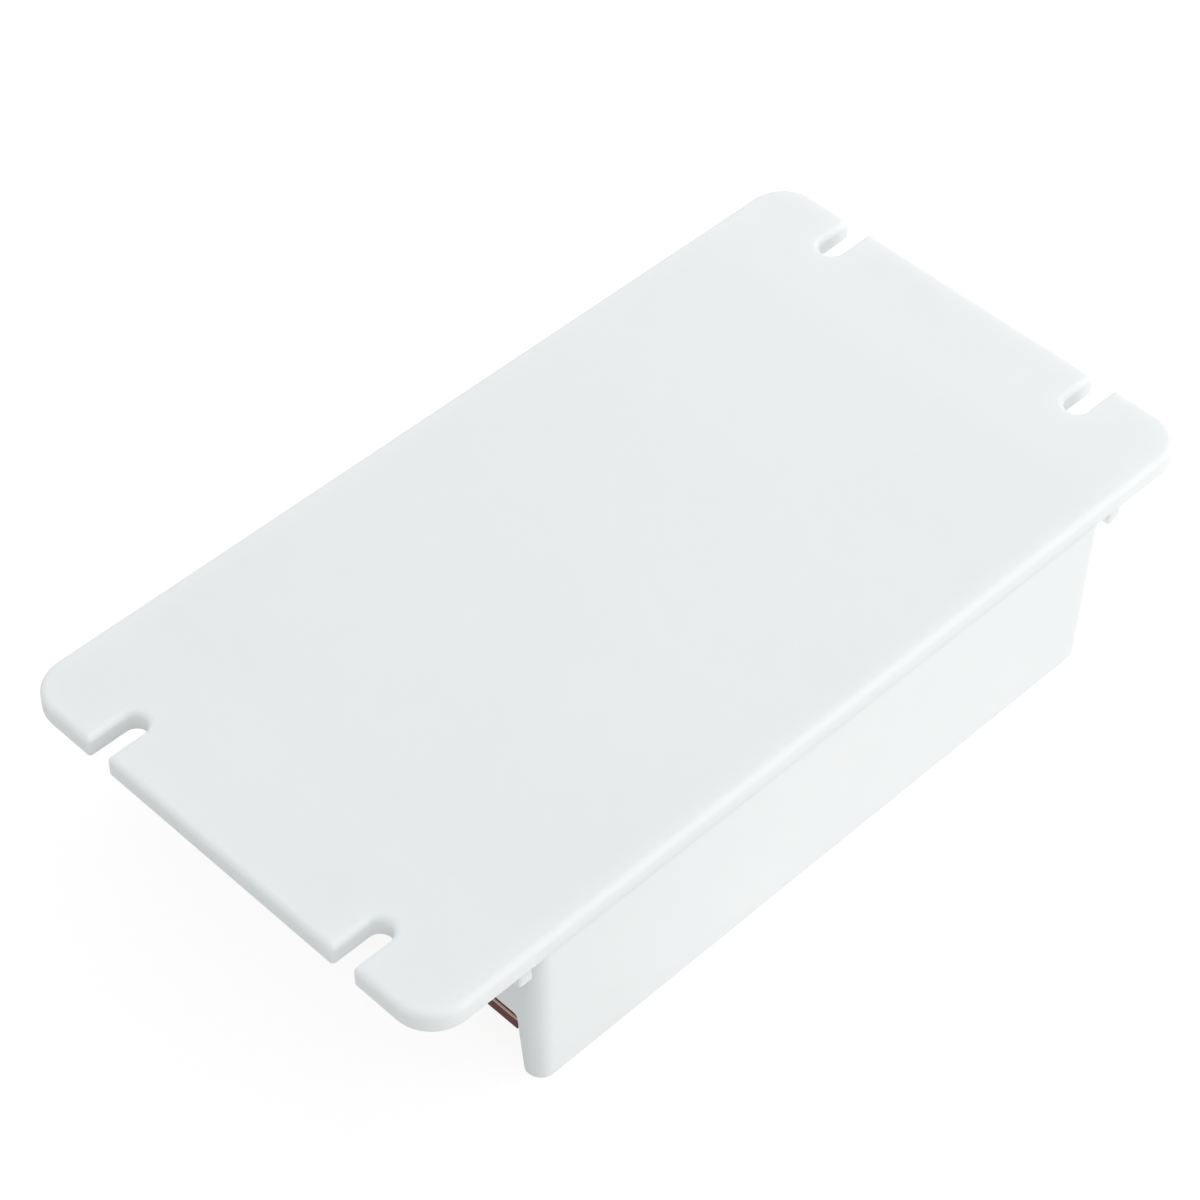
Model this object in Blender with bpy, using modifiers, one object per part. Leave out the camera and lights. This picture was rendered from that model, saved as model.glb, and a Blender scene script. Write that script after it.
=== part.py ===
"""RGB LED controller in a white two-part case, lying on its front face with its mounting plate up.

Metres, +Z up. X runs along the case and Y across it. The origin is under the middle of the case,
in the plane of its front face, so the back of the mounting plate is the highest plane.
"""

import math

import bmesh
import bpy
from mathutils import Matrix

# Clearances
SEAM = 0.0002
SEAT = 0.0003
LEAD_PLAY = 0.00025

# Base plate
PLATE_LENGTH = 0.1204
PLATE_WIDTH = 0.065
PLATE_THICKNESS = 0.0028
PLATE_CORNER = 0.0050
PLATE_EDGE = 0.0008
SLOT_WIDTH = 0.0031
SLOT_LENGTH = 0.0066
SLOT_SPACING = 0.039
SLOT_EDGE = 0.0003
LUG_LENGTH = 0.0019
LUG_WIDTH = 0.0012
LUG_DROP = 0.0020
LUG_GAP = 0.0008
LUG_CORNER = 0.0006
LUG_INSET = 0.00005
LIP_HEIGHT = 0.0025
LIP_WALL = 0.0012
HOOK_DROP = 0.0065
HOOK_THICKNESS = 0.0013
HOOK_WIDTH = 0.0080
HOOK_CATCH = 0.0006
HOOK_TIP = 0.0018
HOOK_INSET = 0.0001
HOOK_SPACING = 0.036
POST_RADIUS = 0.0027
POST_EDGE_DISTANCE = 0.0050
POST_PIN_RADIUS = 0.0012
POST_PIN_REACH = 0.0009
ROOT = 0.0010

# Top cover
COVER_LENGTH = 0.0902
COVER_STEP = 0.00015
COVER_HEIGHT = 0.0226
COVER_CORNER = 0.0020
FRONT_EDGE = 0.0010
END_DRAFT = 0.0005
SIDE_DRAFT = 0.0004
END_WALL = 0.0020
SIDE_WALL = 0.0020
INNER_CORNER = 0.0010
FRONT_WALL = 0.0020
NOTCH_HEIGHT = 0.00985
NOTCH_CORNER = 0.0004
NOTCH_PLAY = 0.00145
FLANK = 0.0036
FLANK_TIP = 0.0027
FLANK_EDGE = 0.0014
BAY_DEPTH = 0.0130
PARTITION = 0.0016

# Circuit board
BOARD_THICKNESS = 0.0016
BOARD_SET_BACK = 0.0001
BOARD_SHOULDER = 0.0017
LEAD_REACH = 0.0008

# Terminal blocks
PITCH = 0.0050
INPUT_COUNT = 2
OUTPUT_COUNT = 4
BLOCK_DEPTH = 0.0078
BLOCK_HEIGHT = 0.0062
BLOCK_WALL = 0.0006
BLOCK_SLOPE = 0.0012
BLOCK_STEP = 0.0030
CLAMP_LENGTH = 0.0048
CLAMP_WIDTH = 0.0034
CLAMP_HEIGHT = 0.0038
CLAMP_WALL = 0.0006
CLAMP_ROOF = 0.0009
CLAMP_PIN_RADIUS = 0.0005
CLAMP_PLAY = 0.0003
SCREW_HEAD_RADIUS = 0.0015
SCREW_HEAD_HEIGHT = 0.0013
SCREW_SHANK_RADIUS = 0.0009
SCREW_SHANK_LENGTH = 0.0030
SCREW_SINK = 0.0004
SCREW_SLOT = 0.0005

# Transistors
BODY_LENGTH = 0.0092
BODY_WIDTH = 0.0100
BODY_HEIGHT = 0.0044
TAB_LENGTH = 0.0064
TAB_THICKNESS = 0.0013
TAB_HOLE_RADIUS = 0.0018
LEG_PITCH = 0.00254
LEG_WIDTH = 0.0007
LEG_THICKNESS = 0.0005
LEG_RUN = 0.0035
TRANSISTOR_SPACING = 0.0150

# Other parts on the board
PART_GAP = 0.0015
LEAD_ROOM = 0.0012
REGULATOR_GAP = 0.0040
CRYSTAL_EDGE_DISTANCE = 0.0085
RADIO_SHIFT = -0.0110
CAN_RADIUS = 0.0050
CAN_HEIGHT = 0.0112
SMALL_CAN_RADIUS = 0.00315
SMALL_CAN_HEIGHT = 0.0070
CAN_LEAD_SPACING = 0.0050
SMALL_CAN_LEAD_SPACING = 0.0025
CAN_LEAD_RADIUS = 0.0003
REGULATOR_RADIUS = 0.0024
REGULATOR_FLAT = 0.0013
REGULATOR_HEIGHT = 0.0046
REGULATOR_STAND = 0.0020
REGULATOR_PITCH = 0.00127
REGULATOR_LEG = 0.00045
DIODE_LENGTH = 0.0090
DIODE_RADIUS = 0.0026
DIODE_LEAD_RADIUS = 0.0006
DIODE_SPAN = 0.0150
RESISTOR_LENGTH = 0.0063
RESISTOR_RADIUS = 0.0012
RESISTOR_LEAD_RADIUS = 0.0003
RESISTOR_SPAN = 0.0100
CRYSTAL_LENGTH = 0.0102
CRYSTAL_WIDTH = 0.0038
CRYSTAL_HEIGHT = 0.0034
CRYSTAL_FLANGE = 0.0005
CRYSTAL_LEAD_SPACING = 0.0049
CRYSTAL_LEAD_RADIUS = 0.00025
CHIP_PITCH = 0.00127
CHIP_WIDTH = 0.0039
CHIP_HEIGHT = 0.0014
CHIP_LEG_WIDTH = 0.0004
CHIP_LEG_THICKNESS = 0.0002
CHIP_LEG_REACH = 0.00105
CONTROLLER_LEGS = 8
MEMORY_LEGS = 4
RADIO_LENGTH = 0.0160
RADIO_WIDTH = 0.0120
RADIO_THICKNESS = 0.0008
RADIO_EDGE_DISTANCE = 0.0020
HEADER_PINS = 5
HEADER_HEIGHT = 0.0025
HEADER_WIDTH = 0.0024
HEADER_INSET = 0.0008
HEADER_PIN_RADIUS = 0.0003
ANTENNA_RADIUS = 0.0020
ANTENNA_WIRE_RADIUS = 0.0003
ANTENNA_TURNS = 5
ANTENNA_PITCH = 0.0015
ANTENNA_STAND = 0.0006

# Fineness of round shapes
CORNER_STEPS = 6
SLOT_STEPS = 10
HOLE_STEPS = 10
ROUND_STEPS = 16
POST_STEPS = 20
EDGE_SEGMENTS = 3

# Heights of the planes that pieces meet at
UNDERSIDE = COVER_HEIGHT + SEAM
BACK_FACE = UNDERSIDE + PLATE_THICKNESS
BOARD_TOP = NOTCH_HEIGHT - NOTCH_PLAY
BOARD_UNDERSIDE = BOARD_TOP - BOARD_THICKNESS
SHELF = BOARD_UNDERSIDE - SEAT

# Plan sizes that follow from the driving ones
COVER_WIDTH = PLATE_WIDTH - 2 * COVER_STEP
CAVITY_LENGTH = COVER_LENGTH - 2 * END_WALL
CAVITY_WIDTH = COVER_WIDTH - 2 * SIDE_WALL
BAY_START = COVER_LENGTH / 2 - END_DRAFT - BAY_DEPTH
END_AT_BOARD = COVER_LENGTH / 2 - END_DRAFT * (1 - BOARD_TOP / COVER_HEIGHT)
NOTCH_HALF_WIDTH = COVER_WIDTH / 2 - SIDE_DRAFT * (1 - NOTCH_HEIGHT / COVER_HEIGHT) - FLANK
NOTCH_HALF_WIDTH_AT_FRONT = COVER_WIDTH / 2 - SIDE_DRAFT - FLANK_TIP
BOARD_LENGTH = 2 * (END_AT_BOARD - BOARD_SET_BACK)
BOARD_TAB_WIDTH = 2 * (NOTCH_HALF_WIDTH - SEAT)
BOARD_WIDTH = CAVITY_WIDTH - 2 * SEAT
BOARD_BODY_LENGTH = CAVITY_LENGTH - 2 * BOARD_SHOULDER
POST_X = BOARD_BODY_LENGTH / 2 - POST_EDGE_DISTANCE
POST_Y = BOARD_WIDTH / 2 - POST_EDGE_DISTANCE
TERMINAL_X = BAY_START + SEAT + BLOCK_DEPTH / 2

# Places of the parts on the board, from its middle
TRANSISTOR_X = BAY_START - PARTITION - LEG_WIDTH - PART_GAP
RESISTOR_X = TRANSISTOR_X - LEG_RUN - BODY_LENGTH - TAB_LENGTH - RESISTOR_RADIUS - PART_GAP
RADIO_PLACE = (RADIO_SHIFT, BOARD_WIDTH / 2 - RADIO_WIDTH / 2 - RADIO_EDGE_DISTANCE)
HEADER_PLACE = (RADIO_SHIFT, RADIO_PLACE[1] - RADIO_WIDTH / 2 + HEADER_WIDTH / 2 + HEADER_INSET)
DIODE_Y = RADIO_PLACE[1] - RADIO_WIDTH / 2 - PART_GAP - DIODE_RADIUS
DIODE_PLACE = (PARTITION - BAY_START + LEAD_ROOM + DIODE_SPAN / 2, DIODE_Y)
CAN_PLACE = (PARTITION - BAY_START + LEAD_ROOM + CAN_RADIUS, DIODE_Y - DIODE_RADIUS - PART_GAP - CAN_RADIUS)
REGULATOR_PLACE = (CAN_PLACE[0], CAN_PLACE[1] - CAN_RADIUS - REGULATOR_GAP - REGULATOR_RADIUS)
MIDDLE_X = (CAN_PLACE[0] + CAN_RADIUS + RESISTOR_X - RESISTOR_RADIUS) / 2
CRYSTAL_PLACE = (MIDDLE_X, CRYSTAL_EDGE_DISTANCE + CRYSTAL_LENGTH / 2 - BOARD_WIDTH / 2)
SMALL_CAN_Y = CRYSTAL_PLACE[1] + CRYSTAL_LENGTH / 2 + CRYSTAL_FLANGE + PART_GAP + SMALL_CAN_RADIUS
SMALL_CAN_PLACE = (MIDDLE_X, SMALL_CAN_Y)
CONTROLLER_PLACE = (0.0, 0.0)
MEMORY_PLACE = (-(CONTROLLER_LEGS + MEMORY_LEGS) * CHIP_PITCH / 2 - PART_GAP * 2, 0.0)
ANTENNA_X = ANTENNA_RADIUS + ANTENNA_STAND - RADIO_LENGTH / 2
ANTENNA_START = (ANTENNA_X, HEADER_INSET + HEADER_WIDTH + ANTENNA_STAND - RADIO_WIDTH / 2)
RADIO_CHIP_PLACE = (RADIO_LENGTH / 2 - MEMORY_LEGS * CHIP_PITCH / 2 - PART_GAP * 2, HEADER_INSET / 2)


def clear_scene():
    for old in list(bpy.data.objects):
        bpy.data.objects.remove(old)


def collection(name, hidden=False):
    made = bpy.data.collections.new(name)
    made.hide_render = hidden
    bpy.context.scene.collection.children.link(made)
    return made


def material(name, colour, roughness, metallic=0.0):
    made = bpy.data.materials.new(name)
    made.use_nodes = True
    shader = made.node_tree.nodes["Principled BSDF"]
    shader.inputs["Base Color"].default_value = (*colour, 1)
    shader.inputs["Roughness"].default_value = roughness
    shader.inputs["Metallic"].default_value = metallic
    return made


def arc(centre, radius, start, end, steps):
    """Points of an arc from start to end, in degrees."""
    points = []
    for step in range(steps + 1):
        angle = math.radians(start + (end - start) * step / steps)
        points.append((centre[0] + radius * math.cos(angle), centre[1] + radius * math.sin(angle)))
    return points


def circle(centre, radius, steps=HOLE_STEPS):
    return arc(centre, radius, 0, 360, steps)[:-1]


def rounded_rectangle(length, width, radius, steps=CORNER_STEPS):
    points = []
    for side_x, side_y, start in ((1, -1, -90), (1, 1, 0), (-1, 1, 90), (-1, -1, 180)):
        centre = (side_x * (length / 2 - radius), side_y * (width / 2 - radius))
        points += arc(centre, radius, start, start + 90, steps)
    return points


def stadium(length, width, steps=CORNER_STEPS):
    reach = (length - width) / 2
    return arc((reach, 0), width / 2, -90, 90, steps) + arc((-reach, 0), width / 2, 90, 270, steps)


def mesh_of(name, built):
    """The finished mesh of a bmesh, with its normals outwards and its round faces smooth."""
    bmesh.ops.recalc_face_normals(built, faces=built.faces)
    mesh = bpy.data.meshes.new(name)
    built.to_mesh(mesh)
    built.free()
    mesh.shade_smooth()
    mesh.set_sharp_from_angle(angle=math.radians(35))
    return mesh


def mesh_of_curve(name, curve):
    """A curve's evaluated mesh, with its loose caps welded on and its flat faces made whole."""
    helper = bpy.data.objects.new(name, curve)
    bpy.context.scene.collection.objects.link(helper)
    graph = bpy.context.evaluated_depsgraph_get()
    raw = bpy.data.meshes.new_from_object(helper.evaluated_get(graph))
    bpy.data.objects.remove(helper)
    built = bmesh.new()
    built.from_mesh(raw)
    bmesh.ops.remove_doubles(built, verts=built.verts, dist=1e-6)
    if len(curve.splines) == 1:
        caps = [face for face in built.faces if len({round(vertex.co.z, 6) for vertex in face.verts}) == 1]
        bmesh.ops.dissolve_faces(built, faces=caps)
    else:
        flat = [edge for edge in built.edges if edge.is_manifold and edge.calc_face_angle() < 1e-4]
        bmesh.ops.dissolve_edges(built, edges=flat, use_verts=False)
    return mesh_of(name, built)


def slab(name, outlines, bottom, top):
    """A slab from closed outlines in plan, the inner ones as holes, between two heights."""
    curve = bpy.data.curves.new(name, "CURVE")
    curve.dimensions = "2D"
    curve.fill_mode = "BOTH"
    curve.extrude = (top - bottom) / 2
    for points in outlines:
        spline = curve.splines.new("POLY")
        spline.points.add(len(points) - 1)
        for point, (x, y) in zip(spline.points, points):
            point.co = (x, y, 0, 1)
        spline.use_cyclic_u = True
    mesh = mesh_of_curve(name, curve)
    mesh.transform(Matrix.Translation((0, 0, (top + bottom) / 2)))
    return mesh


def extrusion_along_x(name, outlines, start, end):
    """Outlines drawn in Y and Z, carried along X."""
    mesh = slab(name, outlines, start, end)
    mesh.transform(Matrix(((0, 0, 1, 0), (1, 0, 0, 0), (0, 1, 0, 0), (0, 0, 0, 1))))
    return mesh


def extrusion_along_y(name, outlines, start, end):
    """Outlines drawn in X and Z, carried along Y."""
    mesh = slab(name, outlines, -end, -start)
    mesh.transform(Matrix(((1, 0, 0, 0), (0, 0, -1, 0), (0, 1, 0, 0), (0, 0, 0, 1))))
    return mesh


def block(name, low, high, chamfer=0.0):
    """A box between two corners, with its edges chamfered if asked."""
    built = bmesh.new()
    middle = [(a + b) / 2 for a, b in zip(low, high)]
    size = [b - a for a, b in zip(low, high)]
    place = Matrix.Translation(middle) @ Matrix.Diagonal((*size, 1))
    bmesh.ops.create_cube(built, size=1, matrix=place)
    if chamfer:
        bmesh.ops.bevel(built, geom=built.edges[:], offset=chamfer, segments=1, affect="EDGES")
    return mesh_of(name, built)


def rod(name, radius, bottom, top, centre=(0.0, 0.0), steps=HOLE_STEPS):
    built = bmesh.new()
    place = Matrix.Translation((*centre, (top + bottom) / 2))
    bmesh.ops.create_cone(
        built, cap_ends=True, segments=steps, radius1=radius, radius2=radius, depth=top - bottom, matrix=place
    )
    return mesh_of(name, built)


def wire(name, points, radius):
    """A round wire along a line of points, with closed ends."""
    curve = bpy.data.curves.new(name, "CURVE")
    curve.dimensions = "3D"
    curve.bevel_depth = radius
    curve.bevel_resolution = 2
    curve.use_fill_caps = True
    spline = curve.splines.new("POLY")
    spline.points.add(len(points) - 1)
    for point, place in zip(spline.points, points):
        point.co = (*place, 1)
    return mesh_of_curve(name, curve)


def profile(name, points):
    """An open profile of radii and heights, from the top down, for a Screw modifier to turn."""
    mesh = bpy.data.meshes.new(name)
    edges = [(i, i + 1) for i in range(len(points) - 1)]
    mesh.from_pydata([(radius, 0, height) for radius, height in points], edges, [])
    return mesh


def copies(name, mesh, places):
    """One mesh that holds a copy of another at each place, given as offsets or matrices."""
    built = bmesh.new()
    for place in places:
        matrix = place if isinstance(place, Matrix) else Matrix.Translation(place)
        first = len(built.verts)
        built.from_mesh(mesh)
        built.verts.ensure_lookup_table()
        bmesh.ops.transform(built, matrix=matrix, verts=built.verts[first:])
    return mesh_of(name, built)


def row(count, pitch):
    """Offsets of a row of things about its middle."""
    return [(i - (count - 1) / 2) * pitch for i in range(count)]


def corners(x, y):
    return [(side_x * x, side_y * y) for side_x in (1, -1) for side_y in (1, -1)]


class Model:
    """The collections and materials, and how a piece or a cutter is added to them."""

    def __init__(self):
        self.parts = collection("rgb led controller")
        self.cutters = collection("cutters", hidden=True)
        self.materials = {
            "white_plastic": material("white plastic", (0.84, 0.865, 0.875), 0.38),
            "board": material("phenolic board", (0.17, 0.06, 0.025), 0.55),
            "green_plastic": material("terminal green", (0.03, 0.22, 0.08), 0.45),
            "steel": material("plated steel", (0.62, 0.62, 0.60), 0.32, 1.0),
            "black_plastic": material("component black", (0.015, 0.015, 0.016), 0.5),
            "can": material("capacitor sleeve", (0.02, 0.025, 0.05), 0.35),
            "resistor": material("resistor lacquer", (0.55, 0.36, 0.16), 0.5),
            "radio_board": material("radio board", (0.02, 0.12, 0.05), 0.45),
            "copper": material("tinned copper", (0.72, 0.45, 0.3), 0.3, 1.0),
        }

    def piece(self, name, mesh, finish, parent=None, place=(0, 0, 0), turn=(0, 0, 0)):
        made = bpy.data.objects.new(name, mesh)
        mesh.materials.clear()
        mesh.materials.append(self.materials[finish])
        made.location = place
        made.rotation_euler = turn
        made.parent = parent
        self.parts.objects.link(made)
        return made

    def turned(self, name, points, finish, parent=None, place=(0, 0, 0), turn=(0, 0, 0), steps=ROUND_STEPS):
        made = self.piece(name, profile(name, points), finish, parent, place, turn)
        add_screw(made, steps)
        return made

    def tool(self, target, mesh, operation):
        """A Boolean of the target with a hidden mesh that shares its place."""
        helper = bpy.data.objects.new(mesh.name, mesh)
        helper.hide_render = True
        helper.display_type = "WIRE"
        helper.parent = target
        self.cutters.objects.link(helper)
        boolean = target.modifiers.new(mesh.name, "BOOLEAN")
        boolean.operation = operation
        boolean.solver = "EXACT"
        boolean.object = helper

    def cut(self, target, mesh):
        self.tool(target, mesh, "DIFFERENCE")

    def join(self, target, mesh):
        self.tool(target, mesh, "UNION")


def even_shading(parts):
    """Weighted normals on every piece that a Boolean has worked on, so that its flat faces look flat."""
    for made in parts.objects:
        if any(modifier.type == "BOOLEAN" for modifier in made.modifiers):
            weighted = made.modifiers.new("even shading", "WEIGHTED_NORMAL")
            weighted.keep_sharp = True


def add_screw(target, steps):
    screw = target.modifiers.new("turn", "SCREW")
    screw.steps = steps
    screw.render_steps = steps
    screw.use_merge_vertices = True
    screw.merge_threshold = 1e-6
    screw.use_smooth_shade = True
    return screw


def slot_edge(sign, side):
    """One open-ended slot at a short edge, entered from its mouth, as points of the plate's outline."""
    middle = side * SLOT_SPACING / 2
    centre = (PLATE_LENGTH / 2 - SLOT_LENGTH + SLOT_WIDTH / 2, middle)
    points = [(PLATE_LENGTH / 2, middle - SLOT_WIDTH / 2)]
    points += arc(centre, SLOT_WIDTH / 2, -90, -270, SLOT_STEPS)
    points.append((PLATE_LENGTH / 2, middle + SLOT_WIDTH / 2))
    return [(sign * x, sign * y) for x, y in points]


def plate_outline():
    points = []
    for sign in (1, -1):
        across = PLATE_WIDTH / 2 - PLATE_CORNER
        along = PLATE_LENGTH / 2 - PLATE_CORNER
        start = 0 if sign == 1 else 180
        points += arc((sign * along, -sign * across), PLATE_CORNER, start - 90, start, CORNER_STEPS)
        points += slot_edge(sign, -1) + slot_edge(sign, 1)
        points += arc((sign * along, sign * across), PLATE_CORNER, start, start + 90, CORNER_STEPS)
    return points


def weigh_plate_rims(mesh):
    """Bevel weights that round the back's outer rim most, and the slots and the underside's rim a little."""
    weights = mesh.attributes.new("bevel_weight_edge", "FLOAT", "EDGE")
    small = SLOT_EDGE / PLATE_EDGE
    tiny = 1e-5
    for edge in mesh.edges:
        a, b = (mesh.vertices[i].co for i in edge.vertices)
        middle = (a + b) / 2
        in_slot = abs(abs(middle.y) - SLOT_SPACING / 2) < SLOT_WIDTH / 2 + tiny
        at_end = abs(abs(middle.x) - PLATE_LENGTH / 2) < tiny
        if abs(a.z - b.z) > tiny:
            weight = small if in_slot and at_end else 0
        elif middle.z < UNDERSIDE + tiny or in_slot:
            weight = small
        else:
            weight = 1
        weights.data[edge.index].value = weight


def lug_mesh():
    """A small rounded nib beside the cover's end, under the plate's long edge at +X and +Y."""
    start = COVER_LENGTH / 2 + LUG_GAP
    end = start + LUG_LENGTH
    low = UNDERSIDE - LUG_DROP
    high = UNDERSIDE + ROOT
    outline = [(end, high), (start, high)]
    outline += arc((start + LUG_CORNER, low + LUG_CORNER), LUG_CORNER, 180, 270, EDGE_SEGMENTS)
    outline += arc((end - LUG_CORNER, low + LUG_CORNER), LUG_CORNER, 270, 360, EDGE_SEGMENTS)
    face = PLATE_WIDTH / 2 - LUG_INSET
    return extrusion_along_y("lug", [outline], face - LUG_WIDTH, face)


def lugs_mesh():
    """The lug at each of the plate's four corners."""
    return copies("lugs", lug_mesh(), [Matrix.Diagonal((x, y, 1, 1)) for x, y in corners(1, 1)])


def lip_mesh():
    """The raised frame that fits inside the cover's rim."""
    length = CAVITY_LENGTH - 2 * SEAT
    width = CAVITY_WIDTH - 2 * SEAT
    outer = rounded_rectangle(length, width, INNER_CORNER)
    inner = rounded_rectangle(length - 2 * LIP_WALL, width - 2 * LIP_WALL, INNER_CORNER / 2)
    return slab("lip", [outer, inner], UNDERSIDE - LIP_HEIGHT, UNDERSIDE + ROOT)


def hooks_mesh():
    """Four snap hooks, two inside each long wall, whose barbs catch in the cover's pockets."""
    face = CAVITY_WIDTH / 2 - SEAT - HOOK_INSET
    back = face - HOOK_THICKNESS
    barb = CAVITY_WIDTH / 2 + HOOK_CATCH
    tip = UNDERSIDE - HOOK_DROP
    outline = [(back, UNDERSIDE + ROOT), (back, tip), (face, tip), (barb, tip + HOOK_TIP * 0.6)]
    outline += [(barb, tip + HOOK_TIP), (face, tip + HOOK_TIP), (face, UNDERSIDE + ROOT)]
    hook = extrusion_along_x("hook", [outline], -HOOK_WIDTH / 2, HOOK_WIDTH / 2)
    places = []
    for turn in (0, math.pi):
        for x in row(2, HOOK_SPACING):
            places.append(Matrix.Rotation(turn, 4, "Z") @ Matrix.Translation((x, 0, 0)))
    return copies("hooks", hook, places)


def posts_mesh():
    """Four posts that hold the board down on its shelves, each with a pin through the board."""
    post = rod("post", POST_RADIUS, BOARD_TOP + SEAT, UNDERSIDE + ROOT, steps=POST_STEPS)
    tip = BOARD_UNDERSIDE - POST_PIN_REACH
    pin = rod("post pin", POST_PIN_RADIUS, tip, BOARD_TOP + 2 * SEAT, steps=POST_STEPS)
    places = [(x, y, 0) for x, y in corners(POST_X, POST_Y)]
    return copies("posts", post, places), copies("post pins", pin, places)


def make_base_plate(model):
    mesh = slab("base_plate", [plate_outline()], UNDERSIDE, BACK_FACE)
    weigh_plate_rims(mesh)
    plate = model.piece("base_plate", mesh, "white_plastic")
    rims = plate.modifiers.new("rounded rims", "BEVEL")
    rims.limit_method = "WEIGHT"
    rims.width = PLATE_EDGE
    rims.segments = EDGE_SEGMENTS
    rims.use_clamp_overlap = False
    posts, pins = posts_mesh()
    for added in (lugs_mesh(), lip_mesh(), hooks_mesh(), posts, pins):
        model.join(plate, added)
    return plate


def cover_block():
    """The cover's outside: drafted walls, rounded upright corners and a rounded front edge."""
    built = bmesh.new()
    bmesh.ops.create_cube(built, size=2)
    for vertex in built.verts:
        inset = 0 if vertex.co.z > 0 else 1
        vertex.co.x *= COVER_LENGTH / 2 - inset * END_DRAFT
        vertex.co.y *= COVER_WIDTH / 2 - inset * SIDE_DRAFT
        vertex.co.z = COVER_HEIGHT if vertex.co.z > 0 else 0
    rise = COVER_HEIGHT / 2
    upright = [edge for edge in built.edges if abs(edge.verts[0].co.z - edge.verts[1].co.z) > rise]
    bmesh.ops.bevel(built, geom=upright, offset=COVER_CORNER, segments=5, profile=0.5, affect="EDGES")
    front = [edge for edge in built.edges if all(vertex.co.z < 1e-6 for vertex in edge.verts)]
    bmesh.ops.bevel(built, geom=front, offset=FRONT_EDGE, segments=4, profile=0.5, affect="EDGES")
    return mesh_of("top_cover", built)


def bay_mesh(side):
    """The terminal bay at one end: a notch in the end wall, wider at the front, between rounded flanks."""
    across = NOTCH_HALF_WIDTH - NOTCH_CORNER
    up = NOTCH_HEIGHT - NOTCH_CORNER
    foot = NOTCH_HALF_WIDTH_AT_FRONT + FLANK_EDGE
    half = [(foot, -FRONT_WALL)] + arc((foot, FLANK_EDGE), FLANK_EDGE, 270, 180, EDGE_SEGMENTS)
    half += arc((across, up), NOTCH_CORNER, 0, 90, EDGE_SEGMENTS)
    outline = half + [(-y, z) for y, z in reversed(half)]
    ends = sorted((side * BAY_START, side * (COVER_LENGTH / 2 + BAY_DEPTH)))
    return extrusion_along_x("bay", [outline], *ends)


def pockets_mesh():
    """The pockets inside the long walls that the hooks' barbs catch in."""
    tip = UNDERSIDE - HOOK_DROP
    reach = HOOK_WIDTH / 2 + SEAT
    low = (-reach, CAVITY_WIDTH / 2 - SIDE_WALL / 2, tip - SEAT)
    high = (reach, CAVITY_WIDTH / 2 + HOOK_CATCH + SEAT, tip + HOOK_TIP + SEAT)
    places = []
    for turn in (0, math.pi):
        for x in row(2, HOOK_SPACING):
            places.append(Matrix.Rotation(turn, 4, "Z") @ Matrix.Translation((x, 0, 0)))
    return copies("pockets", block("pocket", low, high), places)


def make_top_cover(model):
    cover = model.piece("top_cover", cover_block(), "white_plastic")
    cavity = rounded_rectangle(CAVITY_LENGTH, CAVITY_WIDTH, INNER_CORNER)
    model.cut(cover, slab("cavity", [cavity], SHELF, COVER_HEIGHT + ROOT))
    length = 2 * (BAY_START - PARTITION)
    front_cavity = rounded_rectangle(length, CAVITY_WIDTH - 2 * SEAM, INNER_CORNER)
    model.cut(cover, slab("front cavity", [front_cavity], FRONT_WALL, SHELF + ROOT))
    for side in (1, -1):
        model.cut(cover, bay_mesh(side))
    model.cut(cover, pockets_mesh())
    return cover


def board_outline():
    """The board is widest between its four shoulders and runs out through both notches."""
    length, body = BOARD_LENGTH / 2, BOARD_BODY_LENGTH / 2
    width, tab = BOARD_WIDTH / 2, BOARD_TAB_WIDTH / 2
    quarter = [(length, tab), (body, tab), (body, width)]
    outline = []
    for side_x, side_y in ((1, 1), (-1, 1), (-1, -1), (1, -1)):
        points = [(side_x * x, side_y * y) for x, y in quarter]
        outline += points if side_x * side_y > 0 else points[::-1]
    return outline


def axial_holes(place, span, along_x):
    step = (span / 2, 0) if along_x else (0, span / 2)
    return [(place[0] + sign * step[0], place[1] + sign * step[1]) for sign in (1, -1)]


def transistor_rows():
    return row(3, TRANSISTOR_SPACING)


def resistor_places():
    return [(RESISTOR_X, y) for y in transistor_rows()]


def hole_list():
    """Centre and radius of each hole in the board, from the leads and pins that go through it."""
    holes = [(x, y, POST_PIN_RADIUS + SEAT) for x, y in corners(POST_X, POST_Y)]
    for side, ways in ((-1, INPUT_COUNT), (1, OUTPUT_COUNT)):
        holes += [(side * TERMINAL_X, y, CLAMP_PIN_RADIUS + LEAD_PLAY) for y in row(ways, PITCH)]
    for middle in transistor_rows():
        holes += [(TRANSISTOR_X, middle + y, LEG_WIDTH / 2 + LEAD_PLAY) for y in row(3, LEG_PITCH)]
    for place, spacing in ((CAN_PLACE, CAN_LEAD_SPACING), (SMALL_CAN_PLACE, SMALL_CAN_LEAD_SPACING)):
        holes += [(place[0] + x, place[1], CAN_LEAD_RADIUS + LEAD_PLAY) for x in row(2, spacing)]
    x, y = REGULATOR_PLACE
    holes += [(x + step, y, REGULATOR_LEG * 0.71 + LEAD_PLAY / 2) for step in row(3, REGULATOR_PITCH)]
    holes += [(*at, DIODE_LEAD_RADIUS + LEAD_PLAY) for at in axial_holes(DIODE_PLACE, DIODE_SPAN, True)]
    for place in resistor_places():
        holes += [(*at, RESISTOR_LEAD_RADIUS + LEAD_PLAY) for at in axial_holes(place, RESISTOR_SPAN, False)]
    x, y = CRYSTAL_PLACE
    holes += [(x, y + step, CRYSTAL_LEAD_RADIUS + LEAD_PLAY) for step in row(2, CRYSTAL_LEAD_SPACING)]
    x, y = HEADER_PLACE
    holes += [(x + step, y, HEADER_PIN_RADIUS + LEAD_PLAY) for step in row(HEADER_PINS, LEG_PITCH)]
    return holes


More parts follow.
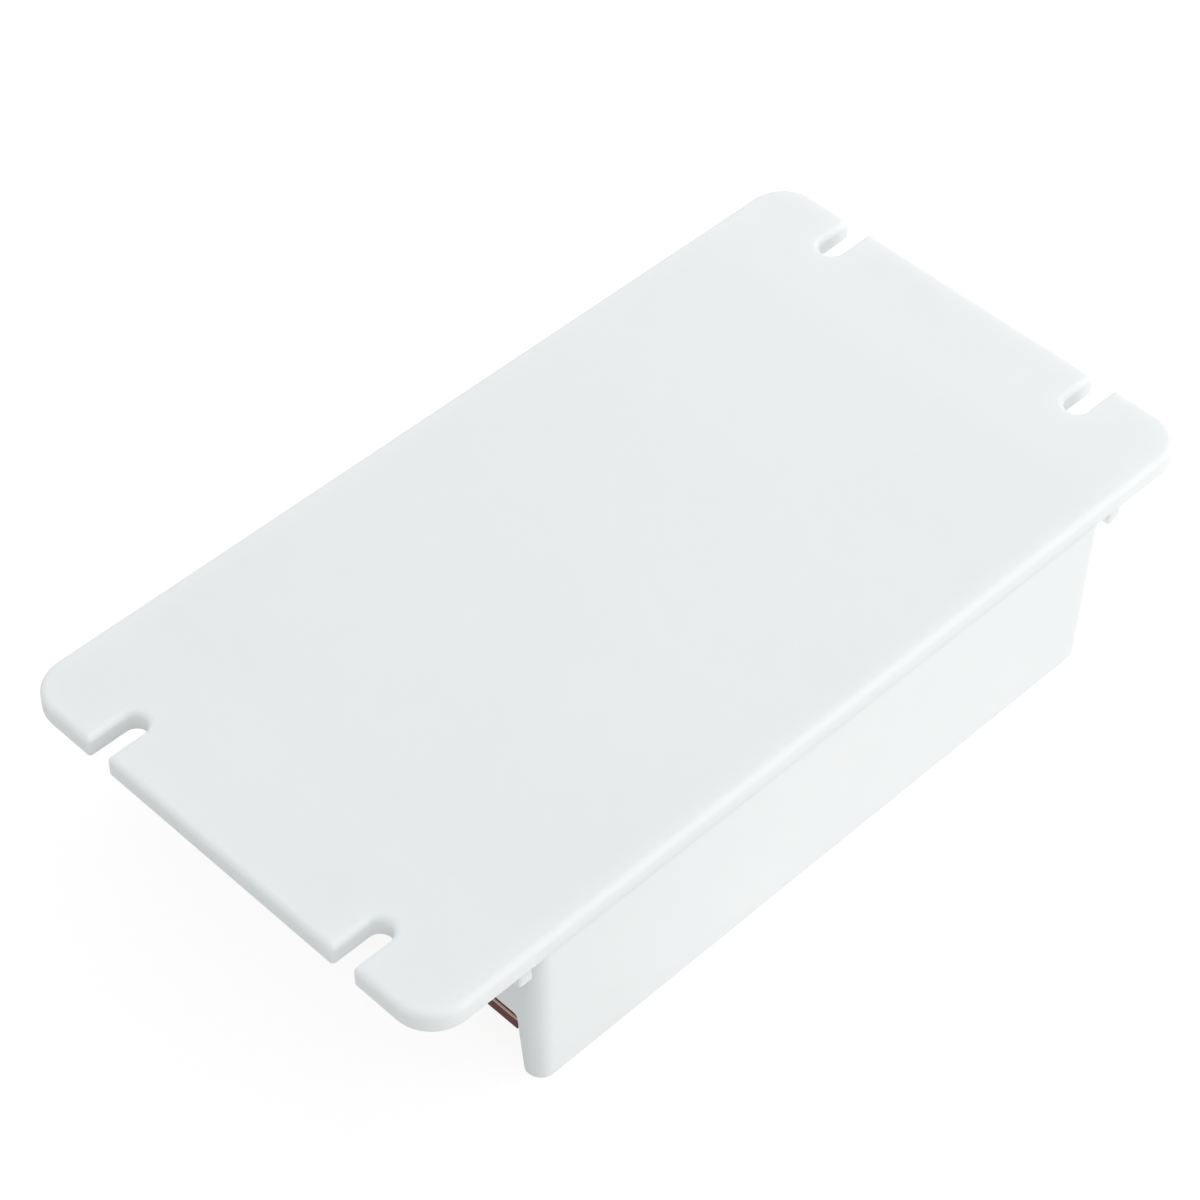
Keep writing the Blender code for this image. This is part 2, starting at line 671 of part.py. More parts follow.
def make_board(model):
    outlines = [board_outline()] + [circle((x, y), radius) for x, y, radius in hole_list()]
    mesh = slab("circuit_board", outlines, 0, BOARD_THICKNESS)
    return model.piece("circuit_board", mesh, "board", place=(0, 0, BOARD_UNDERSIDE))


def block_cuts(ways):
    """What is cut from a terminal block: a chamber, a wire entry and a screw well for each way."""
    chamber_x = CLAMP_LENGTH / 2 + CLAMP_PLAY
    chamber_y = CLAMP_WIDTH / 2 + CLAMP_PLAY
    floor = -SEAT - CLAMP_HEIGHT - 2 * CLAMP_PLAY
    chamber = block("chamber", (-chamber_x, -chamber_y, floor), (chamber_x, chamber_y, SEAT))
    entry_y = CLAMP_WIDTH / 2 - CLAMP_WALL / 2
    entry_low = (0, -entry_y, floor + CLAMP_ROOF)
    entry = block("wire entry", entry_low, (BLOCK_DEPTH, entry_y, -SEAT - CLAMP_ROOF))
    well_radius = SCREW_HEAD_RADIUS + CLAMP_PLAY
    well = rod("screw well", well_radius, -2 * BLOCK_HEIGHT, floor + CLAMP_PLAY, steps=ROUND_STEPS)
    places = [(0, y, 0) for y in row(ways, PITCH)]
    return [copies(mesh.name, mesh, places) for mesh in (chamber, entry, well)]


def make_terminal_block(model, board, name, ways, side):
    """A low housing under the board, its wire entries facing out of the bay."""
    half = BLOCK_DEPTH / 2
    top, foot = -SEAT, -SEAT - BLOCK_HEIGHT
    outline = [(-half, foot), (half - BLOCK_SLOPE, foot), (half, foot + BLOCK_STEP), (half, top)]
    outline.append((-half, top))
    width = ways * PITCH + BLOCK_WALL
    mesh = extrusion_along_y(name, [outline], -width / 2, width / 2)
    turn = (0, 0, 0 if side > 0 else math.pi)
    housing = model.piece(name, mesh, "green_plastic", board, (side * TERMINAL_X, 0, 0), turn)
    for taken in block_cuts(ways):
        model.cut(housing, taken)
    return housing


def make_wire_clamp(model, board, name, place, turn):
    """A square metal cage with a screw hole towards the front and a solder pin through the board."""
    top = -SEAT - CLAMP_PLAY
    foot = top - CLAMP_HEIGHT
    half = CLAMP_WIDTH / 2
    inside = half - CLAMP_WALL
    outer = [(-half, foot), (half, foot), (half, top), (-half, top)]
    low, high = foot + CLAMP_ROOF, top - CLAMP_ROOF
    tunnel = [(-inside, low), (inside, low), (inside, high), (-inside, high)]
    mesh = extrusion_along_x(name, [outer, tunnel], -CLAMP_LENGTH / 2, CLAMP_LENGTH / 2)
    clamp = model.piece(name, mesh, "steel", board, place, turn)
    hole = rod("screw hole", SCREW_SHANK_RADIUS + LEAD_PLAY, foot - CLAMP_ROOF, low + CLAMP_ROOF)
    model.cut(clamp, hole)
    pin = rod("solder pin", CLAMP_PIN_RADIUS, high + CLAMP_ROOF / 2, BOARD_THICKNESS + LEAD_REACH)
    model.join(clamp, pin)
    return clamp


def make_clamp_screw(model, board, name, place):
    """A slotted screw, its head in the housing's well and its shank in the clamp."""
    foot = -SEAT - BLOCK_HEIGHT + SCREW_SINK
    head = foot + SCREW_HEAD_HEIGHT
    chamfer = SCREW_SLOT / 2
    points = [(0, head + SCREW_SHANK_LENGTH), (SCREW_SHANK_RADIUS, head + SCREW_SHANK_LENGTH)]
    points += [(SCREW_SHANK_RADIUS, head), (SCREW_HEAD_RADIUS, head), (SCREW_HEAD_RADIUS, foot + chamfer)]
    points += [(SCREW_HEAD_RADIUS - chamfer, foot), (0, foot)]
    screw = model.turned(name, points, "steel", board, place)
    reach = SCREW_HEAD_RADIUS * 2
    low = (-reach, -SCREW_SLOT / 2, foot - SCREW_SLOT)
    model.cut(screw, block("driver slot", low, (reach, SCREW_SLOT / 2, foot + SCREW_SLOT)))
    return screw


def make_terminals(model, board):
    for name, ways, side in (("input", INPUT_COUNT, -1), ("output", OUTPUT_COUNT, 1)):
        make_terminal_block(model, board, name + "_terminal_block", ways, side)
        for number, y in enumerate(row(ways, PITCH), 1):
            place = (side * TERMINAL_X, y, 0)
            make_wire_clamp(model, board, f"{name}_wire_clamp_{number}", place, (0, 0, 0))
            make_clamp_screw(model, board, f"{name}_clamp_screw_{number}", place)


def make_transistor(model, board, name, y):
    """A flat-lying power transistor: moulded body, metal tab with its hole, three legs bent down."""
    near = -LEG_RUN
    far = near - BODY_LENGTH
    low = BOARD_THICKNESS + SEAT
    half = BODY_WIDTH / 2
    body = block(name, (far, -half, low), (near, half, low + BODY_HEIGHT), LEG_THICKNESS / 2)
    made = model.piece(name, body, "black_plastic", board, (TRANSISTOR_X, y, 0))
    tip = far - TAB_LENGTH
    notch = TAB_THICKNESS
    side = half - LEG_THICKNESS
    outline = [(far + notch, -side), (far + notch, side), (tip + notch, side), (tip, side - notch)]
    outline += [(tip, notch - side), (tip + notch, -side)]
    hole = circle((far - TAB_LENGTH / 2, 0), TAB_HOLE_RADIUS, ROUND_STEPS)
    model.join(made, slab("tab", [outline, hole], low + LEG_THICKNESS, low + LEG_THICKNESS + TAB_THICKNESS))
    rise = low + BODY_HEIGHT / 2
    left, right = -LEG_THICKNESS / 2, LEG_THICKNESS / 2
    bend = [(near - notch, rise), (left, rise), (left, -LEAD_REACH), (right, -LEAD_REACH)]
    bend += [(right, rise + LEG_THICKNESS), (near - notch, rise + LEG_THICKNESS)]
    leg = extrusion_along_y("leg", [bend], -LEG_WIDTH / 2, LEG_WIDTH / 2)
    model.join(made, copies("legs", leg, [(0, step, 0) for step in row(3, LEG_PITCH)]))
    return made


def make_can(model, board, name, place, radius, height, lead_spacing):
    """An upright electrolytic capacitor: rolled top edge, crimp near its foot, two leads."""
    foot = BOARD_THICKNESS + SEAT
    top = foot + height
    roll = radius * 0.08
    crimp = foot + height * 0.16
    points = [(0, top), (radius - roll, top), (radius, top - roll), (radius, crimp + 2 * roll)]
    points += [(radius - roll, crimp + roll), (radius, crimp), (radius, foot + roll)]
    points += [(radius - roll, foot), (0, foot)]
    made = model.turned(name, points, "can", board, (*place, 0))
    lead = rod("can lead", CAN_LEAD_RADIUS, -LEAD_REACH, foot + roll, steps=6)
    model.join(made, copies("can leads", lead, [(x, 0, 0) for x in row(2, lead_spacing)]))
    return made


def make_regulator(model, board):
    """A small upright regulator with one flat side and three straight legs."""
    angle = math.degrees(math.acos(REGULATOR_FLAT / REGULATOR_RADIUS))
    outline = arc((0, 0), REGULATOR_RADIUS, angle - 90, 270 - angle, ROUND_STEPS)
    foot = BOARD_THICKNESS + REGULATOR_STAND
    mesh = slab("voltage_regulator", [outline], foot, foot + REGULATOR_HEIGHT)
    made = model.piece("voltage_regulator", mesh, "black_plastic", board, (*REGULATOR_PLACE, 0))
    half = REGULATOR_LEG / 2
    leg = block("regulator leg", (-half, -half, -LEAD_REACH), (half, half, foot + REGULATOR_LEG))
    model.join(made, copies("regulator legs", leg, [(x, 0, 0) for x in row(3, REGULATOR_PITCH)]))
    return made


def make_axial(model, board, name, finish, place, length, radius, lead_radius, span, along_x):
    """A lying body on one wire that is bent down through the board at both ends."""
    height = BOARD_THICKNESS + SEAT + radius
    bend = 2 * lead_radius
    waist = radius * 0.14
    half = length / 2
    points = [(0, half), (radius - waist, half), (radius, half - waist)]
    points += [(radius, waist - half), (radius - waist, -half), (0, -half)]
    made = model.piece(name, profile(name, points), finish, board, (*place, 0))
    made.rotation_euler = (0, 0, 0 if along_x else math.pi / 2)
    screw = add_screw(made, ROUND_STEPS)
    made.data.transform(Matrix.Rotation(math.pi / 2, 4, "Y"))
    made.data.transform(Matrix.Translation((0, 0, height)))
    screw.axis = "X"
    pivot = bpy.data.objects.new(name + "_axis", None)
    pivot.location = (0, 0, height)
    pivot.parent = made
    model.parts.objects.link(pivot)
    screw.object = pivot
    path = [(-span / 2, -LEAD_REACH)]
    path += arc((-span / 2 + bend, height - bend), bend, 180, 90, EDGE_SEGMENTS)
    path += arc((span / 2 - bend, height - bend), bend, 90, 0, EDGE_SEGMENTS)
    path.append((span / 2, -LEAD_REACH))
    model.join(made, wire("lead", [(x, 0, z) for x, z in path], lead_radius))
    return made


def make_crystal(model, board):
    """A low metal can on a flange, with two leads."""
    foot = BOARD_THICKNESS + SEAT
    rim = stadium(CRYSTAL_LENGTH + CRYSTAL_FLANGE, CRYSTAL_WIDTH + CRYSTAL_FLANGE)
    flange = slab("crystal", [rim], foot, foot + CRYSTAL_FLANGE)
    made = model.piece("crystal", flange, "steel", board, (*CRYSTAL_PLACE, 0), (0, 0, math.pi / 2))
    wall = stadium(CRYSTAL_LENGTH, CRYSTAL_WIDTH)
    model.join(made, slab("crystal can", [wall], foot + CRYSTAL_FLANGE / 2, foot + CRYSTAL_HEIGHT))
    lead = rod("crystal lead", CRYSTAL_LEAD_RADIUS, -LEAD_REACH, foot + CRYSTAL_FLANGE / 2, steps=6)
    model.join(made, copies("crystal leads", lead, [(x, 0, 0) for x in row(2, CRYSTAL_LEAD_SPACING)]))
    return made


def make_chip(model, board, name, place, legs, turn):
    """A moulded chip with a row of bent legs along each side, resting on its own z = 0."""
    length = legs * CHIP_PITCH
    low = CHIP_LEG_THICKNESS + SEAT
    half = CHIP_WIDTH / 2
    body = block(name, (-length / 2, -half, low), (length / 2, half, low + CHIP_HEIGHT), CHIP_LEG_THICKNESS)
    made = model.piece(name, body, "black_plastic", board, place, turn)
    thick = CHIP_LEG_THICKNESS
    waist = low + CHIP_HEIGHT / 2
    knee = half + CHIP_LEG_REACH / 2
    toe = half + CHIP_LEG_REACH
    root = half - 2 * thick
    outline = [(root, waist), (knee - thick, waist), (knee - thick, SEAT), (toe, SEAT)]
    outline += [(toe, SEAT + thick), (knee, SEAT + thick), (knee, waist + thick), (root, waist + thick)]
    leg = extrusion_along_x("chip leg", [outline], -CHIP_LEG_WIDTH / 2, CHIP_LEG_WIDTH / 2)
    places = []
    for half_turn in (0, math.pi):
        for x in row(legs, CHIP_PITCH):
            places.append(Matrix.Rotation(half_turn, 4, "Z") @ Matrix.Translation((x, 0, 0)))
    model.join(made, copies("chip legs", leg, places))
    return made


def make_radio(model, board):
    """A small board on a pin header, with its chip and a coiled wire antenna."""
    foot = BOARD_THICKNESS + SEAT + HEADER_HEIGHT + SEAT
    offsets = row(HEADER_PINS, LEG_PITCH)
    header_y = HEADER_PLACE[1] - RADIO_PLACE[1]
    holes = [circle((x, header_y), HEADER_PIN_RADIUS + LEAD_PLAY) for x in offsets]
    holes.append(circle(ANTENNA_START, ANTENNA_WIRE_RADIUS + LEAD_PLAY))
    outline = rounded_rectangle(RADIO_LENGTH, RADIO_WIDTH, RADIO_THICKNESS / 2, 2)
    mesh = slab("radio_board", [outline] + holes, 0, RADIO_THICKNESS)
    radio = model.piece("radio_board", mesh, "radio_board", board, (*RADIO_PLACE, foot))
    low = BOARD_THICKNESS + SEAT
    half = HEADER_WIDTH / 2
    reach = HEADER_PINS * LEG_PITCH / 2
    high = low + HEADER_HEIGHT
    strip = block("radio_header", (-reach, -half, low), (reach, half, high), RADIO_THICKNESS / 4)
    header = model.piece("radio_header", strip, "black_plastic", board, (*HEADER_PLACE, 0))
    pin = rod("header pin", HEADER_PIN_RADIUS, -LEAD_REACH, foot + RADIO_THICKNESS + LEAD_REACH, steps=6)
    model.join(header, copies("header pins", pin, [(x, 0, 0) for x in offsets]))
    make_chip(model, radio, "radio_chip", (*RADIO_CHIP_PLACE, RADIO_THICKNESS), MEMORY_LEGS, (0, 0, 0))
    make_antenna(model, radio)


def make_antenna(model, radio):
    """A helix along Y above the radio board, with one end bent down through its hole."""
    centre = RADIO_THICKNESS + ANTENNA_STAND + ANTENNA_WIRE_RADIUS + ANTENNA_RADIUS
    steps = 12
    points = [(0, 0, -ANTENNA_STAND), (0, 0, centre - ANTENNA_RADIUS)]
    for step in range(1, ANTENNA_TURNS * steps + 1):
        angle = 2 * math.pi * step / steps
        x = ANTENNA_PITCH * step / steps
        points.append((x, ANTENNA_RADIUS * math.sin(angle), centre - ANTENNA_RADIUS * math.cos(angle)))
    mesh = wire("antenna", points, ANTENNA_WIRE_RADIUS)
    return model.piece("antenna", mesh, "copper", radio, (*ANTENNA_START, 0), (0, 0, math.pi / 2))


def make_components(model, board):
    for colour, y in zip(("red", "green", "blue"), transistor_rows()):
        make_transistor(model, board, colour + "_transistor", y)
    for number, place in enumerate(resistor_places(), 1):
        name = f"gate_resistor_{number}"
        make_axial(
            model, board, name, "resistor", place, RESISTOR_LENGTH, RESISTOR_RADIUS,
            RESISTOR_LEAD_RADIUS, RESISTOR_SPAN, False
        )
    make_axial(
        model, board, "protection_diode", "black_plastic", DIODE_PLACE, DIODE_LENGTH, DIODE_RADIUS,
        DIODE_LEAD_RADIUS, DIODE_SPAN, True
    )
    make_can(model, board, "reservoir_capacitor", CAN_PLACE, CAN_RADIUS, CAN_HEIGHT, CAN_LEAD_SPACING)
    make_can(
        model, board, "filter_capacitor", SMALL_CAN_PLACE, SMALL_CAN_RADIUS, SMALL_CAN_HEIGHT,
        SMALL_CAN_LEAD_SPACING
    )
    make_regulator(model, board)
    make_crystal(model, board)
    over = (math.pi, 0, 0)
    make_chip(model, board, "microcontroller", (*CONTROLLER_PLACE, 0), CONTROLLER_LEGS, over)
    make_chip(model, board, "memory_chip", (*MEMORY_PLACE, 0), MEMORY_LEGS, over)
    make_radio(model, board)


def main():
    clear_scene()
    model = Model()
    make_base_plate(model)
    make_top_cover(model)
    board = make_board(model)
    make_terminals(model, board)
    make_components(model, board)
    even_shading(model.parts)


main()
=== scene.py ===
"""Looks of an RGB LED controller in a white two-part case, lying on its front face.

Metres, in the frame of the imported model: X runs along the case, Y across it, Z up from its front
face. New pieces are surfaces worked out as whole arrays: rings of points that are carried along an
axis and joined by faces. Every piece rides on the one body, "root".
"""
import math

import bpy
import numpy as np
from mathutils import Matrix, Vector


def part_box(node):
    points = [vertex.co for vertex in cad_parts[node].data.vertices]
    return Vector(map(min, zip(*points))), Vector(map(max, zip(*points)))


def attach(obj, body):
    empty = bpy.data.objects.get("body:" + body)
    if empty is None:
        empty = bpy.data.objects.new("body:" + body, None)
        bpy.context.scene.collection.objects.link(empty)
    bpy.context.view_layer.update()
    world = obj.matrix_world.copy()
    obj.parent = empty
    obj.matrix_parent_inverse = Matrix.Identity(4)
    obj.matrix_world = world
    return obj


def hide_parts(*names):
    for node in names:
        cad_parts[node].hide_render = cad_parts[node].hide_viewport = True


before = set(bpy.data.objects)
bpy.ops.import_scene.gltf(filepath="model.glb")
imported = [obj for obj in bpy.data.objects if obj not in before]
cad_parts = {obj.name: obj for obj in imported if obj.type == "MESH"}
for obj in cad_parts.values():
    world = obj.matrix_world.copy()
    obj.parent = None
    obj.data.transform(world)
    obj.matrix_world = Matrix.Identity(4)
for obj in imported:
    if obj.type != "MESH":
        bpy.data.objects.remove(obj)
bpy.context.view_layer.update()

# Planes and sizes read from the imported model
PLATE_LOW, PLATE_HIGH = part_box("base_plate")
COVER_LOW, COVER_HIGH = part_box("top_cover")
BOARD_LOW, BOARD_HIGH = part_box("circuit_board")
BACK_FACE = PLATE_HIGH.z
PLATE_LENGTH = PLATE_HIGH.x - PLATE_LOW.x
PLATE_WIDTH = PLATE_HIGH.y - PLATE_LOW.y
COVER_LENGTH = COVER_HIGH.x - COVER_LOW.x
COVER_WIDTH = COVER_HIGH.y - COVER_LOW.y
COVER_HEIGHT = COVER_HIGH.z - COVER_LOW.z
BOARD_TOP = BOARD_HIGH.z
BOARD_UNDERSIDE = BOARD_LOW.z

# Mounting plate
PLATE_THICKNESS = 0.0028
UNDERSIDE = BACK_FACE - PLATE_THICKNESS
PLATE_CORNER = 0.0050
BACK_RIM = 0.0008
FRONT_RIM = 0.0003
SLOT_WIDTH = 0.0031
SLOT_LENGTH = 0.0066
SLOT_SPACING = 0.039
MOUTH_CORNER = 0.0005
MOUTH_LEAST = 0.00006
LUG_SIZE = (0.0019, 0.0014, 0.0018)
LUG_GAP = 0.0008
LUG_INSET = 0.00005
LUG_ROUNDING = 0.00035
LIP_HEIGHT = 0.0025
LIP_WALL = 0.0012
HOOK_SIZE = (0.0080, 0.0013, 0.0065)
HOOK_CATCH = 0.0006
HOOK_TIP = 0.0018
HOOK_WEDGE = 0.6
HOOK_SPACING = 0.036
POST_RADIUS = 0.0027
POST_PIN_RADIUS = 0.0012
POST_BEVEL = 0.0002
POST_FILLET = 0.0001
POST_TAPER = 0.0003
POST_PROUD = 0.0009
POST_X = 0.0364
POST_Y = 0.02505
CORNERS = ((-1, -1), (-1, 1), (1, -1), (1, 1))
SINK = 0.0010
FIT = 0.0003

# Cover
HAIRLINE = 0.00005
COVER_CORNER = 0.0020
FRONT_EDGE = 0.0010
BACK_EDGE = 0.00012
END_DRAFT = 0.0005
SIDE_DRAFT = 0.0004
WALL = 0.0020
INNER_CORNER = 0.0010
SHELF = 0.0065
NOTCH_HEIGHT = 0.00985
NOTCH_CORNER = 0.0004
NOTCH_ROUNDING = 0.0003
FLANK = 0.0036
FLANK_TIP = 0.0027
FLANK_EDGE = 0.0014
BAY_DEPTH = 0.0130
PARTITION = 0.0016
BAY_START = COVER_LENGTH / 2 - END_DRAFT - BAY_DEPTH

# Board
BOARD_SET_BACK = 0.0003
BOARD_END = BOARD_HIGH.x - BOARD_SET_BACK
# Width of the pale band on the board's top face at each end, and its height down the sawn end: a
# painted highlight of the top edge over a bare margin
BOARD_MARGIN = 0.0002
BOARD_HIGHLIGHT_BAND = 0.00012

# Terminals: rounded sizes of the housing, the wire clamp and its screw
INPUT_WAYS = 2
OUTPUT_WAYS = 4
PITCH = 0.0050
BLOCK_SLOPE = 0.0012
BLOCK_STEP = 0.0030
BLOCK_ROUNDING = 0.00025
GROOVE_WIDTH = 0.0003
GROOVE_DEPTH = 0.00025
CLAMP_WALL = 0.0006
CLAMP_ROOF = 0.0009
CLAMP_PLAY = 0.0003
CLAMP_BEND = 0.0006
CLAMP_CREASE = 0.00015
CLAMP_LENGTH = 0.0048
CLAMP_WIDTH = 0.0034
CLAMP_HEIGHT = 0.0038
PIN_HALF = 0.00045
PIN_TAPER = 0.00015
ENTRY_ROUNDING = 0.0004
ENTRY_FLARE = 0.0003
WELL_FLARE = 0.00025
HEAD_RADIUS = 0.0015
HEAD_HEIGHT = 0.0013
SHANK_RADIUS = 0.0009
THREAD_PITCH = 0.0005
THREAD_DEPTH = 0.00012
THREAD_LEVELS = 8
DRIVER_SLOT = 0.0005

# Components
STAND_OFF = 0.0003
TRANSISTOR_LENGTH = 0.0092
TAB_LENGTH = 0.0064
RESISTOR_LENGTH = 0.0063
DIODE_LENGTH = 0.0090
REGULATOR_STAND = 0.0020
CHIP_WIDTH = 0.0039
HEADER_HEIGHT = 0.0025
HEADER_PINS = 5
LEG_PITCH = 0.00254
LEG_THICKNESS = 0.0005
LEG_RADIUS = 0.00045
LEAD_RADIUS = 0.0003
DIODE_LEAD_RADIUS = 0.0006
REGULATOR_LEG_RADIUS = 0.00025
REGULATOR_RADIUS = 0.0024
RESISTOR_SPAN = 0.0100
DIODE_SPAN = 0.0150
CAN_SPAN = 0.0050
CRYSTAL_SPAN = 0.0049
CHANNELS = ("red", "green", "blue")
RESISTORS = (1, 2, 3)
SOLDER_SPREAD = 0.00055
SOLDER_FLAT = 0.0001
SOLDER_HEIGHT = 0.0006
SOLDER_LIFT = 0.00003

# Patterns in the finishes: scales for each metre, edges of the steps, relief in metres
NOISE_EDGES = (0.3, 0.7)
CLOUD_EDGES = (0.35, 0.65)
SPECK_SCALE = 110.0
SPECK_EDGES = (0.018, 0.03)
SPECK_PICK = 0.93
SPECK_COLOUR = (0.35, 0.35, 0.36, 1)
DRIFT_SCALE = 140.0
GRAIN_SCALE = 4200.0
ROUGHNESS_DRIFT = 0.06
COAT_ROUGHNESS = 0.2
SWELL_SCALE = 60.0
SWELL_SHARE = 0.6
BLOTCH_SCALE = 700.0
BLOTCH_EDGES = (0.4, 0.7)
BLOTCH_ROUGHNESS = 0.18
LINE_ROUGHNESS = 0.08
METAL_RELIEF = 0.000004
COMPONENT_RELIEF = 0.000006
FIBRE_STRETCH = (900.0, 2600.0, 5200.0)
TRACK_SCALE = 240.0
TRACK_EDGES = (0.08, 0.11)
TRACK_RELIEF = 3.0
BOARD_ROUGHNESS = (0.42, 0.62)
BOARD_RELIEF = 0.00001

# Fineness of the rounded shapes: points on each arc
SHARP_ANGLE = 40
CORNER_COUNT = 25
MOUTH_COUNT = 9
SLOT_COUNT = 29
RIM_COUNT = 7
EDGE_COUNT = 5
COVER_CORNER_COUNT = 13
BACK_EDGE_COUNT = 4
FRONT_EDGE_COUNT = 9
FLANK_COUNT = 11
NOTCH_COUNT = 7
FLARE_COUNT = 6
CHAMBER_COUNT = 3
ROUND_COUNT = 48
JOINT_COUNT = 24
JOINT_LEVELS = 9


def arc(centre, radius, start, end, count):
    """Points on a circle at equal angles, start to end in degrees: centre + radius (cos, sin)."""
    x, y = centre
    angle = np.radians(np.linspace(start, end, count))
    return np.stack([x + radius * np.cos(angle), y + radius * np.sin(angle)], axis=-1)


def rounded_rectangle(half_length, half_width, corner, count=9):
    """A rectangle's outline with a quarter circle at each corner, anticlockwise from -Y."""
    along, across = half_length - corner, half_width - corner
    turns = ((1, -1, -90), (1, 1, 0), (-1, 1, 90), (-1, -1, 180))
    centres = [((x * along, y * across), start) for x, y, start in turns]
    return np.concatenate([arc(at, corner, start, start + 90, count) for at, start in centres])


def oblong(low_x, low_y, high_x, high_y):
    """A rectangle's four corners, anticlockwise."""
    return np.array([(low_x, low_y), (high_x, low_y), (high_x, high_y), (low_x, high_y)])


def rounded_polygon(points, radius):
    """An anticlockwise convex outline with its corners turned into arcs, and its outward normals.

    At each corner the arc runs between the normals of the two sides that meet there, and its
    centre is the corner drawn in along their bisector by radius / cos(half the turn).
    """
    points = np.asarray(points, float)
    side = np.roll(points, -1, axis=0) - points
    side /= np.linalg.norm(side, axis=1, keepdims=True)
    after = np.stack([side[:, 1], -side[:, 0]], axis=-1)
    before = np.roll(after, 1, axis=0)
    bisector = before + after
    centre = points - radius * bisector / (1 + np.sum(before * after, axis=1, keepdims=True))
    start = np.arctan2(before[:, 1], before[:, 0])
    turn = (np.arctan2(after[:, 1], after[:, 0]) - start) % (2 * math.pi)
    angle = start[:, None] + turn[:, None] * np.linspace(0, 1, EDGE_COUNT)
    normals = np.stack([np.cos(angle), np.sin(angle)], axis=-1)
    return (centre[:, None] + radius * normals).reshape(-1, 2), normals.reshape(-1, 2)


def quarter_turns(radius, count):
    """A rounded edge's distance in and distance down, from the flat face to the upright one."""
    angle = np.radians(np.linspace(90, 0, count))
    return radius * (1 - np.cos(angle)), radius * (1 - np.sin(angle))


def wall_profile(top, bottom, upper, lower):
    """Distances in and heights, from the top down, of a wall whose upper and lower edges are
    quarter circles. Each edge is given as its radius and count of points."""
    upper_in, upper_down = quarter_turns(*upper)
    lower_in, lower_down = quarter_turns(*lower)
    heights = np.concatenate([top - upper_down, (bottom + lower_down)[::-1]])
    return np.concatenate([upper_in, lower_in[::-1]]), heights


def skin(rings, wrap=False):
    """Vertices and faces of a stack of equal rings: a quad between each two points and the two
    below them, and a flat face on the first and last ring, or on neither where the stack closes
    on itself."""
    levels, count = rings.shape[:2]
    index = np.arange(levels * count).reshape(levels, count)
    lower = np.roll(index, -1, axis=0) if wrap else index[1:]
    upper = index if wrap else index[:-1]
    quads = [upper, lower, np.roll(lower, -1, axis=1), np.roll(upper, -1, axis=1)]
    faces = np.stack(quads, axis=-1).reshape(-1, 4).tolist()
    if not wrap:
        faces += [index[0].tolist(), index[-1][::-1].tolist()]
    return rings.reshape(-1, 3), faces


def flat_ring(outline, height):
    """An outline in plan at one height."""
    return np.column_stack([outline, np.full(len(outline), height)])


def lifted(rings, axis):
    """Rings drawn in plan along Z, turned so that Z becomes the axis asked for."""
    return rings[..., {"x": [2, 0, 1], "y": [1, 2, 0], "z": [0, 1, 2]}[axis]]


def prism(outline, start, end, axis="z"):
    """An outline carried straight along an axis: in (x, y), (y, z) or (z, x) for z, x or y."""
    rings = np.stack([flat_ring(outline, end), flat_ring(outline, start)])
    return skin(lifted(rings, axis))


def soft_prism(corners, radius, start, end, axis="z"):
    """A rounded polygon carried along an axis, drawn in along its normals at both ends so that the
    end edges are quarter circles too."""
    outline, normals = rounded_polygon(corners, radius)
    edge = (radius, EDGE_COUNT)
    inward, heights = wall_profile(end, start, edge, edge)
    rings = outline[None] - inward[:, None, None] * normals[None]
    heights = np.broadcast_to(heights[:, None, None], (*rings.shape[:2], 1))
    return skin(lifted(np.concatenate([rings, heights], axis=-1), axis))


def turned(radii, heights, centre=(0.0, 0.0), count=ROUND_COUNT):
    """A profile of radii and heights, from the top down, carried round an upright axis."""
    angle = np.linspace(0, 2 * math.pi, count, endpoint=False)
    radii, heights = np.asarray(radii, float), np.asarray(heights, float)
    x = centre[0] + radii[:, None] * np.cos(angle)
    y = centre[1] + radii[:, None] * np.sin(angle)
    return skin(np.stack([x, y, np.broadcast_to(heights[:, None], x.shape)], axis=-1))


def tube(outer, inner, start, end, axis="z"):
    """Two outlines of equal count carried along an axis and joined at both ends, round a hole."""
    rings = [flat_ring(outer, end), flat_ring(outer, start)]
    rings += [flat_ring(inner, start), flat_ring(inner, end)]
    return skin(lifted(np.stack(rings), axis), wrap=True)


def half_turned(shape):
    """The same shape half a turn round Z."""
    return shape[0] * (-1, -1, 1), shape[1]


def together(shapes):
    """Several shapes as one list of vertices and faces."""
    vertices, faces, first = [], [], 0
    for points, its_faces in shapes:
        vertices.append(points)
        faces += [[i + first for i in face] for face in its_faces]
        first += len(points)
    return np.concatenate(vertices), faces


def mesh_of(name, shape):
    """A shape's mesh, smooth apart from its sharp edges."""
    mesh = bpy.data.meshes.new(name)
    mesh.from_pydata(shape[0].tolist(), [], shape[1])
    mesh.validate()
    mesh.shade_smooth()
    mesh.set_sharp_from_angle(angle=math.radians(SHARP_ANGLE))
    return mesh


def added(name, data):
    """A new object in the scene for a mesh, a lamp or a camera."""
    made = bpy.data.objects.new(name, data)
    bpy.context.scene.collection.objects.link(made)
    return made


def worked(name, shape, cuts=(), joins=()):
    """A shape's mesh after other closed shapes are joined to it and cut from it."""
    body = added(name, mesh_of(name, shape))
    helpers = []
    for operation, shapes in (("UNION", joins), ("DIFFERENCE", cuts)):
        for other in shapes:
            helper = added("tool", mesh_of("tool", other))
            helpers.append(helper)
            step = body.modifiers.new(operation.lower(), "BOOLEAN")
            step.operation = operation
            step.solver = "EXACT"
            step.object = helper
    even = body.modifiers.new("even shading", "WEIGHTED_NORMAL")
    even.keep_sharp = True
    graph = bpy.context.evaluated_depsgraph_get()
    made = bpy.data.meshes.new_from_object(body.evaluated_get(graph), depsgraph=graph)
    for used in [body, *helpers]:
        bpy.data.objects.remove(used)
    made.name = name
    return made


